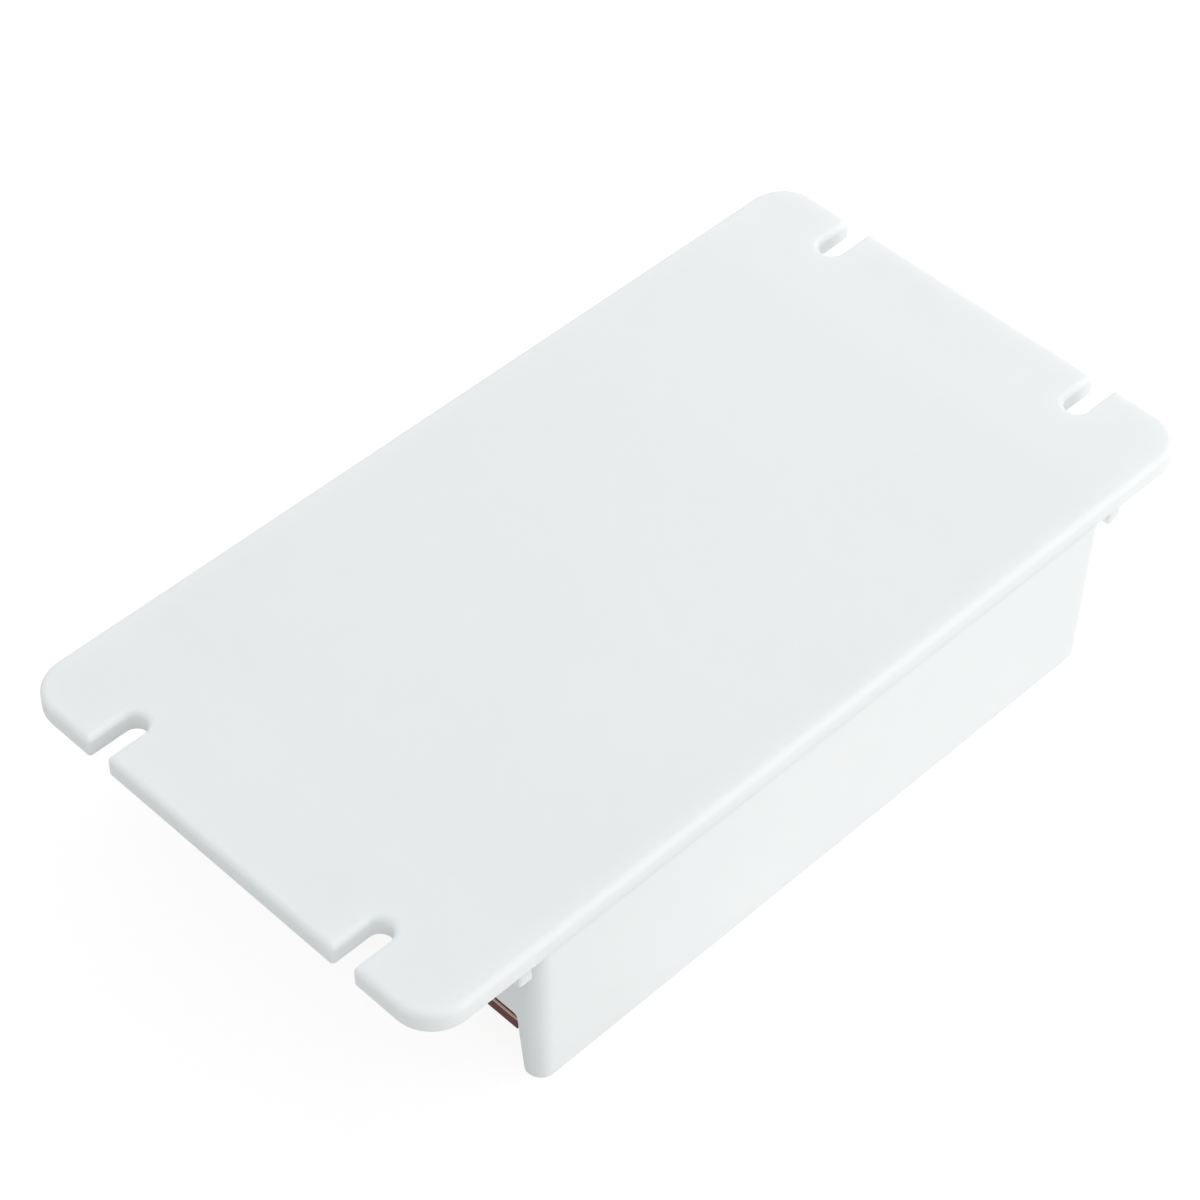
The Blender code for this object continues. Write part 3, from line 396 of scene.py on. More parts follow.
def add_piece(name, mesh, finish, replaces=()):
    """A finished piece: its mesh already in place, riding on the body, with its finish."""
    piece = added(name, mesh)
    mesh.materials.clear()
    mesh.materials.append(finish)
    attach(piece, "root")
    if replaces:
        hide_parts(*replaces)


def place_camera():
    """The photographed view: from beyond the -X, -Y corner, looking down on the mounting plate."""
    right = Vector((0.71017, -0.70402, 0.00314))
    up = Vector((0.51373, 0.52126, 0.68145))
    view = Vector((0.48139, 0.48233, -0.73186))
    lens = bpy.data.cameras.new("camera")
    lens.sensor_width = 36
    lens.lens = 103.033
    lens.clip_start = 0.01
    lens.clip_end = 20
    camera = added("camera", lens)
    place = Matrix((right, up, -view)).transposed().to_4x4()
    place.translation = (-0.18986, -0.18608, 0.30381)
    camera.matrix_world = place
    bpy.context.scene.camera = camera


place_camera()


class Wiring:
    """Nodes of one tree, added and joined in short calls."""

    def __init__(self, tree):
        self.tree = tree

    def add(self, kind, inputs=None, **settings):
        node = self.tree.nodes.new(kind)
        for key, value in settings.items():
            setattr(node, key, value)
        for key, value in (inputs or {}).items():
            self.feed(node.inputs[key], value)
        return node

    def feed(self, socket, value):
        if isinstance(value, bpy.types.NodeSocket):
            self.tree.links.new(value, socket)
        else:
            socket.default_value = value

    def compute(self, kind, operation, values):
        """A node that works out one result from its values, given in the order of its sockets."""
        return self.add(kind, dict(enumerate(values)), operation=operation).outputs[0]

    def math(self, operation, *values):
        return self.compute("ShaderNodeMath", operation, values)

    def vector(self, operation, *values):
        return self.compute("ShaderNodeVectorMath", operation, values)

    def hypot(self, x, y):
        """The distance of (x, y) from the middle."""
        squares = [self.math("MULTIPLY", value, value) for value in (x, y)]
        return self.math("SQRT", self.math("ADD", *squares))

    def near(self, value, middle, reach):
        """1 where a value is within reach of the middle, 0 elsewhere."""
        away = self.math("ABSOLUTE", self.math("SUBTRACT", value, middle))
        return self.math("LESS_THAN", away, reach)

    def place(self):
        """The object's own coordinates."""
        return self.add("ShaderNodeTexCoord").outputs["Object"]

    def parts(self, vector):
        return self.add("ShaderNodeSeparateXYZ", {0: vector}).outputs

    def use(self, group, values=None):
        """A group placed with its own values."""
        return self.add("ShaderNodeGroup", values, node_tree=group).outputs

    def mix(self, factor, first, second):
        """Two colours mixed. Sockets 6 and 7 and result 2 are the node's colour ones."""
        inputs = {0: factor, 6: first, 7: second}
        return self.add("ShaderNodeMix", inputs, data_type="RGBA").outputs[2]

    def noise(self, vector, scale, detail=2.0, roughness=0.5):
        inputs = {"Vector": vector, "Scale": scale, "Detail": detail, "Roughness": roughness}
        return self.add("ShaderNodeTexNoise", inputs).outputs["Fac"]

    def span(self, value, low, high, new_low=0.0, new_high=1.0):
        """A value from low to high, spread evenly from the new low to the new high."""
        inputs = {"Value": value, "From Min": low, "From Max": high}
        inputs |= {"To Min": new_low, "To Max": new_high}
        return self.add("ShaderNodeMapRange", inputs).outputs["Result"]


def node_group(name, inputs, outputs):
    """An empty group with named sockets, given as (name, kind, default) and (name, kind)."""
    kinds = {"number": "NodeSocketFloat", "colour": "NodeSocketColor", "vector": "NodeSocketVector"}
    group = bpy.data.node_groups.new(name, "ShaderNodeTree")
    for label, kind, default in inputs:
        socket = group.interface.new_socket(label, in_out="INPUT", socket_type=kinds[kind])
        socket.default_value = default
    for label, kind in outputs:
        group.interface.new_socket(label, in_out="OUTPUT", socket_type=kinds[kind])
    wiring = Wiring(group)
    return group, wiring, wiring.add("NodeGroupInput").outputs, wiring.add("NodeGroupOutput").inputs


def moulded_group():
    """Moulded plastic: cloudy colour from the flow of the melt, a fine spark-eroded grain from the
    mould wall, roughness that drifts a little, and sparse specks in the resin."""
    group, wiring, given, out = node_group(
        "moulded plastic",
        [
            ("Colour", "colour", (0.8, 0.8, 0.8, 1)),
            ("Cloud Colour", "colour", (0.75, 0.75, 0.75, 1)),
            ("Cloud Scale", "number", 30.0),
            ("Grain Scale", "number", 4000.0),
            ("Roughness", "number", 0.4),
            ("Roughness Drift", "number", 0.05),
            ("Specks", "number", 0.2),
        ],
        [("Colour", "colour"), ("Roughness", "number"), ("Height", "number")],
    )
    place = wiring.place()
    cloud = wiring.noise(place, given["Cloud Scale"], 3.0, 0.55)
    cloud = wiring.span(cloud, *CLOUD_EDGES)
    colour = wiring.mix(cloud, given["Colour"], given["Cloud Colour"])
    cells = wiring.add("ShaderNodeTexVoronoi", {"Vector": place, "Scale": SPECK_SCALE}).outputs
    dot = wiring.span(cells["Distance"], *SPECK_EDGES, 1.0, 0.0)
    pick = wiring.add("ShaderNodeSeparateColor", {"Color": cells["Color"]}).outputs[0]
    dot = wiring.math("MULTIPLY", dot, wiring.math("GREATER_THAN", pick, SPECK_PICK))
    speck = wiring.math("MULTIPLY", dot, given["Specks"])
    wiring.feed(out["Colour"], wiring.mix(speck, colour, SPECK_COLOUR))
    drift = wiring.math("SUBTRACT", wiring.noise(place, DRIFT_SCALE, 4.0, 0.6), 0.5)
    drift = wiring.math("MULTIPLY_ADD", drift, given["Roughness Drift"], given["Roughness"])
    wiring.feed(out["Roughness"], drift)
    grain = wiring.noise(place, given["Grain Scale"], 3.0, 0.6)
    swell = wiring.noise(place, SWELL_SCALE, 1.0, 0.4)
    wiring.feed(out["Height"], wiring.math("MULTIPLY_ADD", swell, SWELL_SHARE, grain))
    return group


def metal_group():
    """Plated metal: fine parallel drawing lines, blotchy plating and a few dull spots."""
    group, wiring, given, out = node_group(
        "plated metal",
        [
            ("Colour", "colour", (0.7, 0.7, 0.68, 1)),
            ("Dull Colour", "colour", (0.5, 0.5, 0.48, 1)),
            ("Stretch", "vector", (300.0, 6000.0, 6000.0)),
            ("Roughness", "number", 0.3),
        ],
        [("Colour", "colour"), ("Roughness", "number"), ("Height", "number")],
    )
    place = wiring.place()
    lines = wiring.noise(wiring.vector("MULTIPLY", place, given["Stretch"]), 1.0, 3.0, 0.6)
    blotch = wiring.span(wiring.noise(place, BLOTCH_SCALE, 3.0, 0.6), *BLOTCH_EDGES, 0.0, 0.8)
    wiring.feed(out["Colour"], wiring.mix(blotch, given["Colour"], given["Dull Colour"]))
    rough = wiring.math("MULTIPLY_ADD", blotch, BLOTCH_ROUGHNESS, given["Roughness"])
    wiring.feed(out["Roughness"], wiring.math("MULTIPLY_ADD", lines, LINE_ROUGHNESS, rough))
    wiring.feed(out["Height"], lines)
    return group


def within_group():
    """1 inside an upright box between two corners, 0 outside it, in the object's coordinates."""
    group, wiring, given, out = node_group(
        "within box",
        [("Low", "vector", (-1.0, -1.0, -1.0)), ("High", "vector", (1.0, 1.0, 1.0))],
        [("Mask", "number")],
    )
    total = wiring.vector("ADD", given["Low"], given["High"])
    middle = wiring.vector("MULTIPLY", total, (0.5, 0.5, 0.5))
    reach = wiring.vector("SUBTRACT", given["High"], middle)
    away = wiring.vector("ABSOLUTE", wiring.vector("SUBTRACT", wiring.place(), middle))
    x, y, z = wiring.parts(wiring.vector("SUBTRACT", away, reach))
    furthest = wiring.math("MAXIMUM", wiring.math("MAXIMUM", x, y), z)
    wiring.feed(out["Mask"], wiring.math("LESS_THAN", furthest, 0.0))
    return group


MOULDED = moulded_group()
METAL = metal_group()
WITHIN = within_group()


def new_material(name, metallic=0.0, specular=0.5, coat=0.0):
    """A plain material, with the wiring of its nodes and its shader."""
    made = bpy.data.materials.new(name)
    made.use_nodes = True
    shader = made.node_tree.nodes["Principled BSDF"]
    shader.inputs["Metallic"].default_value = metallic
    shader.inputs["Specular IOR Level"].default_value = specular
    shader.inputs["Coat Weight"].default_value = coat
    shader.inputs["Coat Roughness"].default_value = COAT_ROUGHNESS
    return made, Wiring(made.node_tree), shader


def add_relief(wiring, shader, height, depth):
    """Fine relief of a given depth in metres."""
    bump = wiring.add("ShaderNodeBump", {"Height": height, "Distance": depth, "Strength": 1.0})
    wiring.feed(shader.inputs["Normal"], bump.outputs["Normal"])


def finish_with(wiring, shader, look, depth):
    """A shader's colour, roughness and relief, taken from a group."""
    wiring.feed(shader.inputs["Base Color"], look["Colour"])
    wiring.feed(shader.inputs["Roughness"], look["Roughness"])
    add_relief(wiring, shader, look["Height"], depth)


def plastic(name, colour, cloud, roughness, grain_depth, specks=0.0):
    """A material of moulded plastic."""
    made, wiring, shader = new_material(name)
    values = {"Colour": (*colour, 1), "Cloud Colour": (*cloud, 1), "Roughness": roughness}
    values |= {"Roughness Drift": ROUGHNESS_DRIFT, "Specks": specks, "Grain Scale": GRAIN_SCALE}
    finish_with(wiring, shader, wiring.use(MOULDED, values), grain_depth)
    return made


def metal(name, colour, dull, roughness):
    """A material of plated metal."""
    made, wiring, shader = new_material(name, metallic=1.0)
    values = {"Colour": (*colour, 1), "Dull Colour": (*dull, 1), "Roughness": roughness}
    finish_with(wiring, shader, wiring.use(METAL, values), METAL_RELIEF)
    return made


# Pairs of colours that the paper's fibres mix
VARNISH = ((0.30, 0.085, 0.014, 1), (0.42, 0.135, 0.03, 1))
# Pale bare paper, lightened to stand in for the top edge's highlight: a painted highlight over a
# bare margin
BARE_PAPER_AND_HIGHLIGHT = ((0.86, 0.66, 0.58, 1), (1.0, 0.82, 0.74, 1))
SAWN_PAPER = ((0.085, 0.027, 0.023, 1), (0.15, 0.050, 0.043, 1))
TRACK_COLOUR = (0.52, 0.21, 0.07, 1)


def laminate():
    """Paper laminate: varnished faces, tracks in relief on the face with the chips, and a mottled
    sawn edge where the layers show. A pale band runs along the top edge at each end, on the top
    face and down the sawn edge.
    It is a painted highlight of that edge over a bare margin."""
    made, wiring, shader = new_material("paper laminate", specular=0.12)
    place = wiring.place()
    x, _, z = wiring.parts(place)
    facing = wiring.parts(wiring.add("ShaderNodeTexCoord").outputs["Normal"])[2]
    face = wiring.math("GREATER_THAN", wiring.math("ABSOLUTE", facing), 0.5)
    underside = wiring.math("LESS_THAN", facing, -0.5)
    margin = wiring.math("GREATER_THAN", wiring.math("ABSOLUTE", x), BOARD_END - BOARD_MARGIN)
    high = wiring.math("GREATER_THAN", z, BOARD_TOP - BOARD_HIGHLIGHT_BAND)
    fibre = wiring.noise(wiring.vector("MULTIPLY", place, FIBRE_STRETCH), 1.0, 4.0, 0.65)
    flat = wiring.vector("MULTIPLY", place, (1.0, 1.0, 0.0))
    cells = {"Vector": flat, "Scale": TRACK_SCALE, "Randomness": 0.75}
    first, second = (
        wiring.add("ShaderNodeTexVoronoi", cells, distance="CHEBYCHEV", feature=feature).outputs[0]
        for feature in ("F1", "F2")
    )
    between = wiring.span(wiring.math("SUBTRACT", second, first), *TRACK_EDGES)
    track = wiring.math("MULTIPLY", underside, between)
    varnish = wiring.mix(track, wiring.mix(fibre, *VARNISH), TRACK_COLOUR)
    bare = wiring.mix(fibre, *BARE_PAPER_AND_HIGHLIGHT)
    sawn = wiring.mix(wiring.span(fibre, *NOISE_EDGES), *SAWN_PAPER)
    # At both ends, a pale band on the top face and on the top of the sawn edge: a painted highlight
    # of the board's top edge
    top = wiring.mix(margin, varnish, bare)
    edge = wiring.mix(wiring.math("MULTIPLY", margin, high), sawn, bare)
    wiring.feed(shader.inputs["Base Color"], wiring.mix(face, edge, top))
    wiring.feed(shader.inputs["Roughness"], wiring.span(fibre, *NOISE_EDGES, *BOARD_ROUGHNESS))
    relief = wiring.math("MULTIPLY_ADD", track, TRACK_RELIEF, fibre)
    add_relief(wiring, shader, relief, BOARD_RELIEF)
    return made


def plate_ring(drawn):
    """The plate's outline, drawn in by one distance all round and in its four slots.

    Half of it runs from the -Y corner over two slots to the +Y corner; the other half is the same
    half a turn round. A slot is a half circle that grows by the distance, and the corner at each
    side of its mouth is an arc whose radius shrinks by it.
    """
    half_length = PLATE_LENGTH / 2 - drawn
    half_width = PLATE_WIDTH / 2 - drawn
    corner = PLATE_CORNER - drawn
    mouth = max(MOUTH_CORNER - drawn, MOUTH_LEAST)
    slot_centre = PLATE_LENGTH / 2 - SLOT_LENGTH + SLOT_WIDTH / 2
    reach = SLOT_WIDTH / 2 + drawn
    runs = [arc((half_length - corner, corner - half_width), corner, -90, 0, CORNER_COUNT)]
    for middle in (-SLOT_SPACING / 2, SLOT_SPACING / 2):
        runs.append(arc((half_length - mouth, middle - reach - mouth), mouth, 0, 90, MOUTH_COUNT))
        runs.append(arc((slot_centre, middle), reach, 270, 90, SLOT_COUNT))
        runs.append(arc((half_length - mouth, middle + reach + mouth), mouth, -90, 0, MOUTH_COUNT))
    runs.append(arc((half_length - corner, half_width - corner), corner, 0, 90, CORNER_COUNT))
    half = np.concatenate(runs)
    return np.concatenate([half, -half])


def plate_shape():
    """The plate's rim profile carried round its outline: a quarter circle at the back, a straight
    edge and a smaller quarter circle at the front."""
    profile = wall_profile(BACK_FACE, UNDERSIDE, (BACK_RIM, RIM_COUNT), (FRONT_RIM, RIM_COUNT))
    return skin(np.stack([flat_ring(plate_ring(drawn), height) for drawn, height in zip(*profile)]))


def lug_shapes():
    """The rounded nib beside each end of the cover, under the plate's long edges."""
    length, width, drop = LUG_SIZE
    x = COVER_LENGTH / 2 + LUG_GAP + length / 2
    y = PLATE_WIDTH / 2 - LUG_INSET - width / 2
    nib = oblong(-length / 2, -width / 2, length / 2, width / 2)
    plans = [nib + (side_x * x, side_y * y) for side_x, side_y in CORNERS]
    return [soft_prism(plan, LUG_ROUNDING, UNDERSIDE - drop, UNDERSIDE + SINK) for plan in plans]


def lip_shape():
    """The frame under the plate that fits inside the cover's rim."""
    half_length = COVER_LENGTH / 2 - WALL - FIT
    half_width = COVER_WIDTH / 2 - WALL - FIT
    outer = rounded_rectangle(half_length, half_width, INNER_CORNER)
    inner = rounded_rectangle(half_length - LIP_WALL, half_width - LIP_WALL, INNER_CORNER / 2)
    return tube(outer, inner, UNDERSIDE - LIP_HEIGHT, UNDERSIDE + SINK)


def four_along_x(outline, reach):
    """An outline in (y, z) carried along X at the hooks' two places, and half a turn round."""
    shapes = []
    for x in (-HOOK_SPACING / 2, HOOK_SPACING / 2):
        shape = prism(np.array(outline), x - reach, x + reach, axis="x")
        shapes += [shape, half_turned(shape)]
    return shapes


def hook_shapes():
    """Four snap hooks: a flat finger with a wedge near its tip, carried along X."""
    width, thickness, drop = HOOK_SIZE
    face = COVER_WIDTH / 2 - WALL - FIT - HAIRLINE * 2
    tip = UNDERSIDE - drop
    barb = COVER_WIDTH / 2 - WALL + HOOK_CATCH
    root, step = UNDERSIDE + SINK, tip + HOOK_TIP
    outline = [(face - thickness, tip), (face, tip), (barb, tip + HOOK_TIP * HOOK_WEDGE)]
    outline += [(barb, step), (face, step), (face, root), (face - thickness, root)]
    return four_along_x(outline, width / 2)


def post_shapes():
    """Four round posts with a rounded pin through the board."""
    shoulder = BOARD_TOP + FIT
    tip = BOARD_UNDERSIDE - POST_PROUD
    pin = POST_PIN_RADIUS
    radii = [POST_RADIUS, POST_RADIUS, POST_RADIUS - POST_BEVEL]
    radii += [pin + POST_FILLET, pin, pin, pin - POST_TAPER]
    heights = [UNDERSIDE + SINK, shoulder + POST_BEVEL, shoulder]
    heights += [shoulder, shoulder - POST_FILLET, tip + POST_TAPER, tip]
    return [turned(radii, heights, (x * POST_X, y * POST_Y)) for x, y in CORNERS]


def make_plate(finish):
    """The plate with all that is moulded on it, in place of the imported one."""
    joins = lug_shapes() + [lip_shape()] + hook_shapes() + post_shapes()
    mesh = worked("mounting_plate", plate_shape(), joins=joins)
    add_piece("mounting_plate", mesh, finish, ["base_plate"])


def draft(height):
    """How far the end and side walls lean in at a height: not at the rim, most at the front."""
    share = 1 - height / COVER_HEIGHT
    return END_DRAFT * share, SIDE_DRAFT * share


def cover_block():
    """The cover's outside: a rounded rectangle that leans in towards the front, drawn in along
    quarter circles at the back rim and at the front edge."""
    edges = ((BACK_EDGE, BACK_EDGE_COUNT), (FRONT_EDGE, FRONT_EDGE_COUNT))
    inward, heights = wall_profile(UNDERSIDE - HAIRLINE, 0.0, *edges)
    end_lean, side_lean = draft(heights)
    rings = []
    for height, drawn, end, side in zip(heights, inward, end_lean, side_lean):
        half_length, half_width = COVER_LENGTH / 2 - end - drawn, COVER_WIDTH / 2 - side - drawn
        corner = COVER_CORNER - drawn
        outline = rounded_rectangle(half_length, half_width, corner, COVER_CORNER_COUNT)
        rings.append(flat_ring(outline, height))
    return skin(np.stack(rings))


def notch_outline():
    """Half widths and heights of the bay's opening: rounded flanks at the front that lean to the
    top's rounded corners."""
    side_at_notch = COVER_WIDTH / 2 - draft(NOTCH_HEIGHT)[1] - FLANK
    side_at_front = COVER_WIDTH / 2 - SIDE_DRAFT - FLANK_TIP
    foot = side_at_front + FLANK_EDGE
    corner = (side_at_notch - NOTCH_CORNER, NOTCH_HEIGHT - NOTCH_CORNER)
    flank = arc((foot, FLANK_EDGE), FLANK_EDGE, 270, 180, FLANK_COUNT)
    top = arc(corner, NOTCH_CORNER, 0, 90, NOTCH_COUNT)
    half = np.concatenate([[(foot, -WALL)], flank, top])
    return np.concatenate([half, half[::-1] * (-1, 1)])


def bay_shape():
    """The terminal bay at +X: the notch outline carried along X, and flared by a quarter circle
    where it breaks through the leaning end wall, so that the wall's edge is round."""
    outline = notch_outline()
    step = np.roll(outline, -1, axis=0) - np.roll(outline, 1, axis=0)
    normals = np.stack([step[:, 1], -step[:, 0]], axis=-1)
    normals /= np.linalg.norm(normals, axis=1, keepdims=True)
    normals[[0, -1]] = [(1, 0), (-1, 0)]
    flare_in, flare_along = quarter_turns(NOTCH_ROUNDING, FLARE_COUNT)
    wall = COVER_LENGTH / 2 - draft(np.clip(outline[:, 1], 0, COVER_HEIGHT))[0]
    rings = [np.column_stack([np.full(len(outline), BAY_START), outline])]
    for drawn, along in zip(flare_in[::-1], flare_along[::-1]):
        rings.append(np.column_stack([wall - along, outline + normals * drawn]))
    rings.append(rings[-1] + (WALL, 0, 0))
    return skin(np.stack(rings)[::-1])


def pocket_shapes():
    """The pockets in the long walls that take the hooks' wedges."""
    reach = HOOK_SIZE[0] / 2 + FIT
    tip = UNDERSIDE - HOOK_SIZE[2]
    inner, outer = COVER_WIDTH / 2 - WALL * 1.5, COVER_WIDTH / 2 - WALL + HOOK_CATCH + FIT
    return four_along_x(oblong(inner, tip - FIT, outer, tip + HOOK_TIP + FIT), reach)


def make_cover(finish):
    """The cover, hollowed behind and before its shelf and cut open for the two bays."""
    half_length, half_width = COVER_LENGTH / 2 - WALL, COVER_WIDTH / 2 - WALL
    inside = rounded_rectangle(half_length, half_width, INNER_CORNER)
    front = rounded_rectangle(BAY_START - PARTITION, half_width - FIT, INNER_CORNER)
    cavities = [prism(inside, SHELF, COVER_HEIGHT + SINK), prism(front, WALL, SHELF + SINK)]
    bay = bay_shape()
    cuts = cavities + [bay, half_turned(bay)] + pocket_shapes()
    mesh = worked("moulded_cover", cover_block(), cuts=cuts)
    add_piece("moulded_cover", mesh, finish, ["top_cover"])


def white_resin(name, weight, depth):
    """White resin for the case. A share of the light, its weight, goes a little way into it and
    comes out again, which fills narrow slots."""
    made = plastic(name, (0.890, 0.908, 0.908), (0.877, 0.896, 0.898), 0.64, 0.000008, specks=0.12)
    shader = made.node_tree.nodes["Principled BSDF"]
    shader.inputs["Subsurface Weight"].default_value = weight
    shader.inputs["Subsurface Scale"].default_value = depth
    shader.inputs["Subsurface Radius"].default_value = (1.0, 0.95, 0.9)
    return made


make_plate(white_resin("white of the plate", 0.8, 0.0015))
make_cover(white_resin("white of the cover", 0.5, 0.0008))


def board_shape():
    """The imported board's own surface with its equal points merged, and both ends drawn back a
    little, so that the flanks of the notches cover its corners."""
    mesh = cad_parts["circuit_board"].data
    points = np.empty(len(mesh.vertices) * 3)
    mesh.vertices.foreach_get("co", points)
    corners = np.empty(len(mesh.loops), int)
    mesh.loops.foreach_get("vertex_index", corners)
    points, place = np.unique(points.reshape(-1, 3).round(7), axis=0, return_inverse=True)
    points[:, 0] = np.clip(points[:, 0], -BOARD_END, BOARD_END)
    return points, place.reshape(-1)[corners].reshape(-1, 3).tolist()


def make_board(finish):
    """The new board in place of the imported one."""
    mesh = mesh_of("printed_board", board_shape())
    add_piece("printed_board", mesh, finish, ["circuit_board"])


def row(count):
    """Places of the ways of a terminal, evenly spaced about the middle."""
    return (np.arange(count) - (count - 1) / 2) * PITCH


def entry_shape(y, face, low, high, half_width):
    """A wire entry: a rounded rectangle carried along X, wider towards its mouth."""
    opening = oblong(y - half_width, low, y + half_width, high)
    outline, normals = rounded_polygon(opening, ENTRY_ROUNDING)
    places = (face + WALL, face, face - ENTRY_FLARE * 2, 0.0)
    widths = (ENTRY_FLARE, ENTRY_FLARE, 0.0, 0.0)
    rings = []
    for x, wide in zip(places, widths):
        rings.append(np.column_stack([np.full(len(outline), x), outline + normals * wide]))
    return skin(np.stack(rings))


def housing_cuts(ways, face, foot, top):
    """What each way takes from a terminal housing, and the grooves between the ways."""
    length, width = CLAMP_LENGTH / 2 + CLAMP_PLAY, CLAMP_WIDTH / 2 + CLAMP_PLAY
    floor = top - CLAMP_HEIGHT - 2 * CLAMP_PLAY
    entry_half = (CLAMP_WIDTH - CLAMP_WALL) / 2
    well = HEAD_RADIUS + CLAMP_PLAY
    cuts = []
    for y in row(ways):
        chamber = rounded_rectangle(length, width, CLAMP_CREASE, CHAMBER_COUNT) + (0.0, y)
        cuts.append(prism(chamber, floor, top + CLAMP_PLAY))
        cuts.append(entry_shape(y, face, floor + CLAMP_ROOF, top - CLAMP_ROOF, entry_half))
        radii = [well, well, well + WELL_FLARE, well + WELL_FLARE]
        heights = [floor + CLAMP_PLAY, foot + WELL_FLARE, foot, foot - WALL]
        cuts.append(turned(radii, heights, (0.0, y)))
    beneath, above, beyond = foot - WALL, top + WALL, face + WALL
    bottom, back = foot + GROOVE_DEPTH, face - GROOVE_DEPTH
    outline = [(beneath, -face), (bottom, -face), (bottom, face - BLOCK_SLOPE - GROOVE_DEPTH / 2)]
    outline += [(foot + BLOCK_STEP, back), (above, back), (above, beyond), (beneath, beyond)]
    for y in row(ways - 1):
        cuts.append(prism(np.array(outline), y - GROOVE_WIDTH / 2, y + GROOVE_WIDTH / 2, axis="y"))
    return cuts


def housing_mesh(name, ways):
    """A terminal housing with its wire entries towards +X, drawn about the middle of its block."""
    low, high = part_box(name + "_terminal_block")
    face, foot, top = (high.x - low.x) / 2, low.z, high.z
    half_width = (high.y - low.y) / 2
    profile = [(foot, -face), (top, -face), (top, face)]
    profile += [(foot + BLOCK_STEP, face), (foot, face - BLOCK_SLOPE)]
    block = soft_prism(profile, BLOCK_ROUNDING, -half_width, half_width, axis="y")
    return worked(name + "_terminal_housing", block, cuts=housing_cuts(ways, face, foot, top))


def clamp_mesh(name, foot, top, tip):
    """A wire clamp: a square tube bent from strip, a screw hole below and a tapered solder pin."""
    half = CLAMP_WIDTH / 2
    inside = half - CLAMP_WALL
    ceiling = top - CLAMP_ROOF
    outer = rounded_polygon(oblong(-half, foot, half, top), CLAMP_BEND)[0]
    tunnel = rounded_polygon(oblong(-inside, foot + CLAMP_ROOF, inside, ceiling), CLAMP_CREASE)[0]
    cage = tube(outer, tunnel, -CLAMP_LENGTH / 2, CLAMP_LENGTH / 2, axis="x")
    hole = SHANK_RADIUS + CLAMP_CREASE
    radii = [hole, hole, hole + CLAMP_CREASE, hole + CLAMP_CREASE]
    screw_hole = turned(radii, [ceiling - CLAMP_WALL, foot + CLAMP_CREASE, foot, foot - WALL])
    square = oblong(-PIN_HALF, -PIN_HALF, PIN_HALF, PIN_HALF)
    pin = soft_prism(square, PIN_TAPER, ceiling + CLAMP_ROOF / 2, tip)
    return worked(name, cage, cuts=[screw_hole], joins=[pin])


def screw_mesh(name, foot, tip):
    """A slotted screw, head down: a turned profile with a thread whose radius falls and rises
    once for each turn, depth x |2 x the fraction of (height / pitch - angle / full turn) - 1|
    below the crest."""
    angle = np.linspace(0, 2 * math.pi, ROUND_COUNT, endpoint=False)
    head = foot + HEAD_HEIGHT
    half = DRIVER_SLOT / 2
    count = int(round((tip - head) / THREAD_PITCH * THREAD_LEVELS))
    level = np.linspace(tip, head, count)[:, None]
    turn = (level / THREAD_PITCH - angle / (2 * math.pi)) % 1
    crest = np.minimum(SHANK_RADIUS, SHANK_RADIUS - THREAD_DEPTH * 2 + (tip - level))
    thread = crest - THREAD_DEPTH * np.abs(2 * turn - 1)
    inward, down = quarter_turns(half, EDGE_COUNT)
    edge = (HEAD_RADIUS - inward)[::-1]
    radii = np.concatenate([[HEAD_RADIUS - CLAMP_CREASE, HEAD_RADIUS], edge])
    heights = np.concatenate([[head, head - CLAMP_CREASE], (foot + down)[::-1]])
    radii, heights = (np.repeat(values[:, None], len(angle), axis=1) for values in (radii, heights))
    radii = np.concatenate([thread, radii])
    heights = np.concatenate([np.broadcast_to(level, thread.shape), heights])
    shape = skin(np.stack([radii * np.cos(angle), radii * np.sin(angle), heights], axis=-1))
    slot = prism(oblong(-half, foot - DRIVER_SLOT, half, foot + DRIVER_SLOT), -WALL, WALL, axis="x")
    return worked(name, shape, cuts=[slot])


def placed(mesh, x, y, turned_round):
    """A copy of a mesh at its place, half a turn round where it serves the -X end."""
    copy = mesh.copy()
    turn = Matrix.Rotation(math.pi if turned_round else 0.0, 4, "Z")
    copy.transform(Matrix.Translation((x, y, 0)) @ turn)
    return copy


def make_terminals(housing_finish, clamp_finish, screw_finish):
    """Both terminals: a housing each, and a wire clamp and a screw for each way."""
    screw_low, screw_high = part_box("output_clamp_screw_1")
    pin_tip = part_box("output_wire_clamp_1")[1].z
    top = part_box("output_terminal_block")[1].z - CLAMP_PLAY
    clamp = clamp_mesh("wire clamp", top - CLAMP_HEIGHT, top, pin_tip)
    screw = screw_mesh("clamp screw", screw_low.z, screw_high.z)
    fittings = (
        (clamp, "wire_clamp", "_cage", clamp_finish),
        (screw, "clamp_screw", "_slotted", screw_finish),
    )
    for name, ways, side in (("input", INPUT_WAYS, -1), ("output", OUTPUT_WAYS, 1)):
        low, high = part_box(name + "_terminal_block")
        x = (low.x + high.x) / 2
        housing = placed(housing_mesh(name, ways), x, 0.0, side < 0)
        node = name + "_terminal_block"
        add_piece(name + "_terminal_housing", housing, housing_finish, [node])
        for number, y in enumerate(row(ways), 1):
            for mesh, kind, ending, finish in fittings:
                node = f"{name}_{kind}_{number}"
                add_piece(node + ending, placed(mesh, x, y, side < 0), finish, [node])
    bpy.data.meshes.remove(clamp)
    bpy.data.meshes.remove(screw)


def place_of(wiring, centre):
    """Object coordinates measured from a component's own middle, one by one."""
    inputs = {"Vector": wiring.place(), "Location": [-part for part in centre]}
    return wiring.parts(wiring.add("ShaderNodeMapping", inputs).outputs[0])


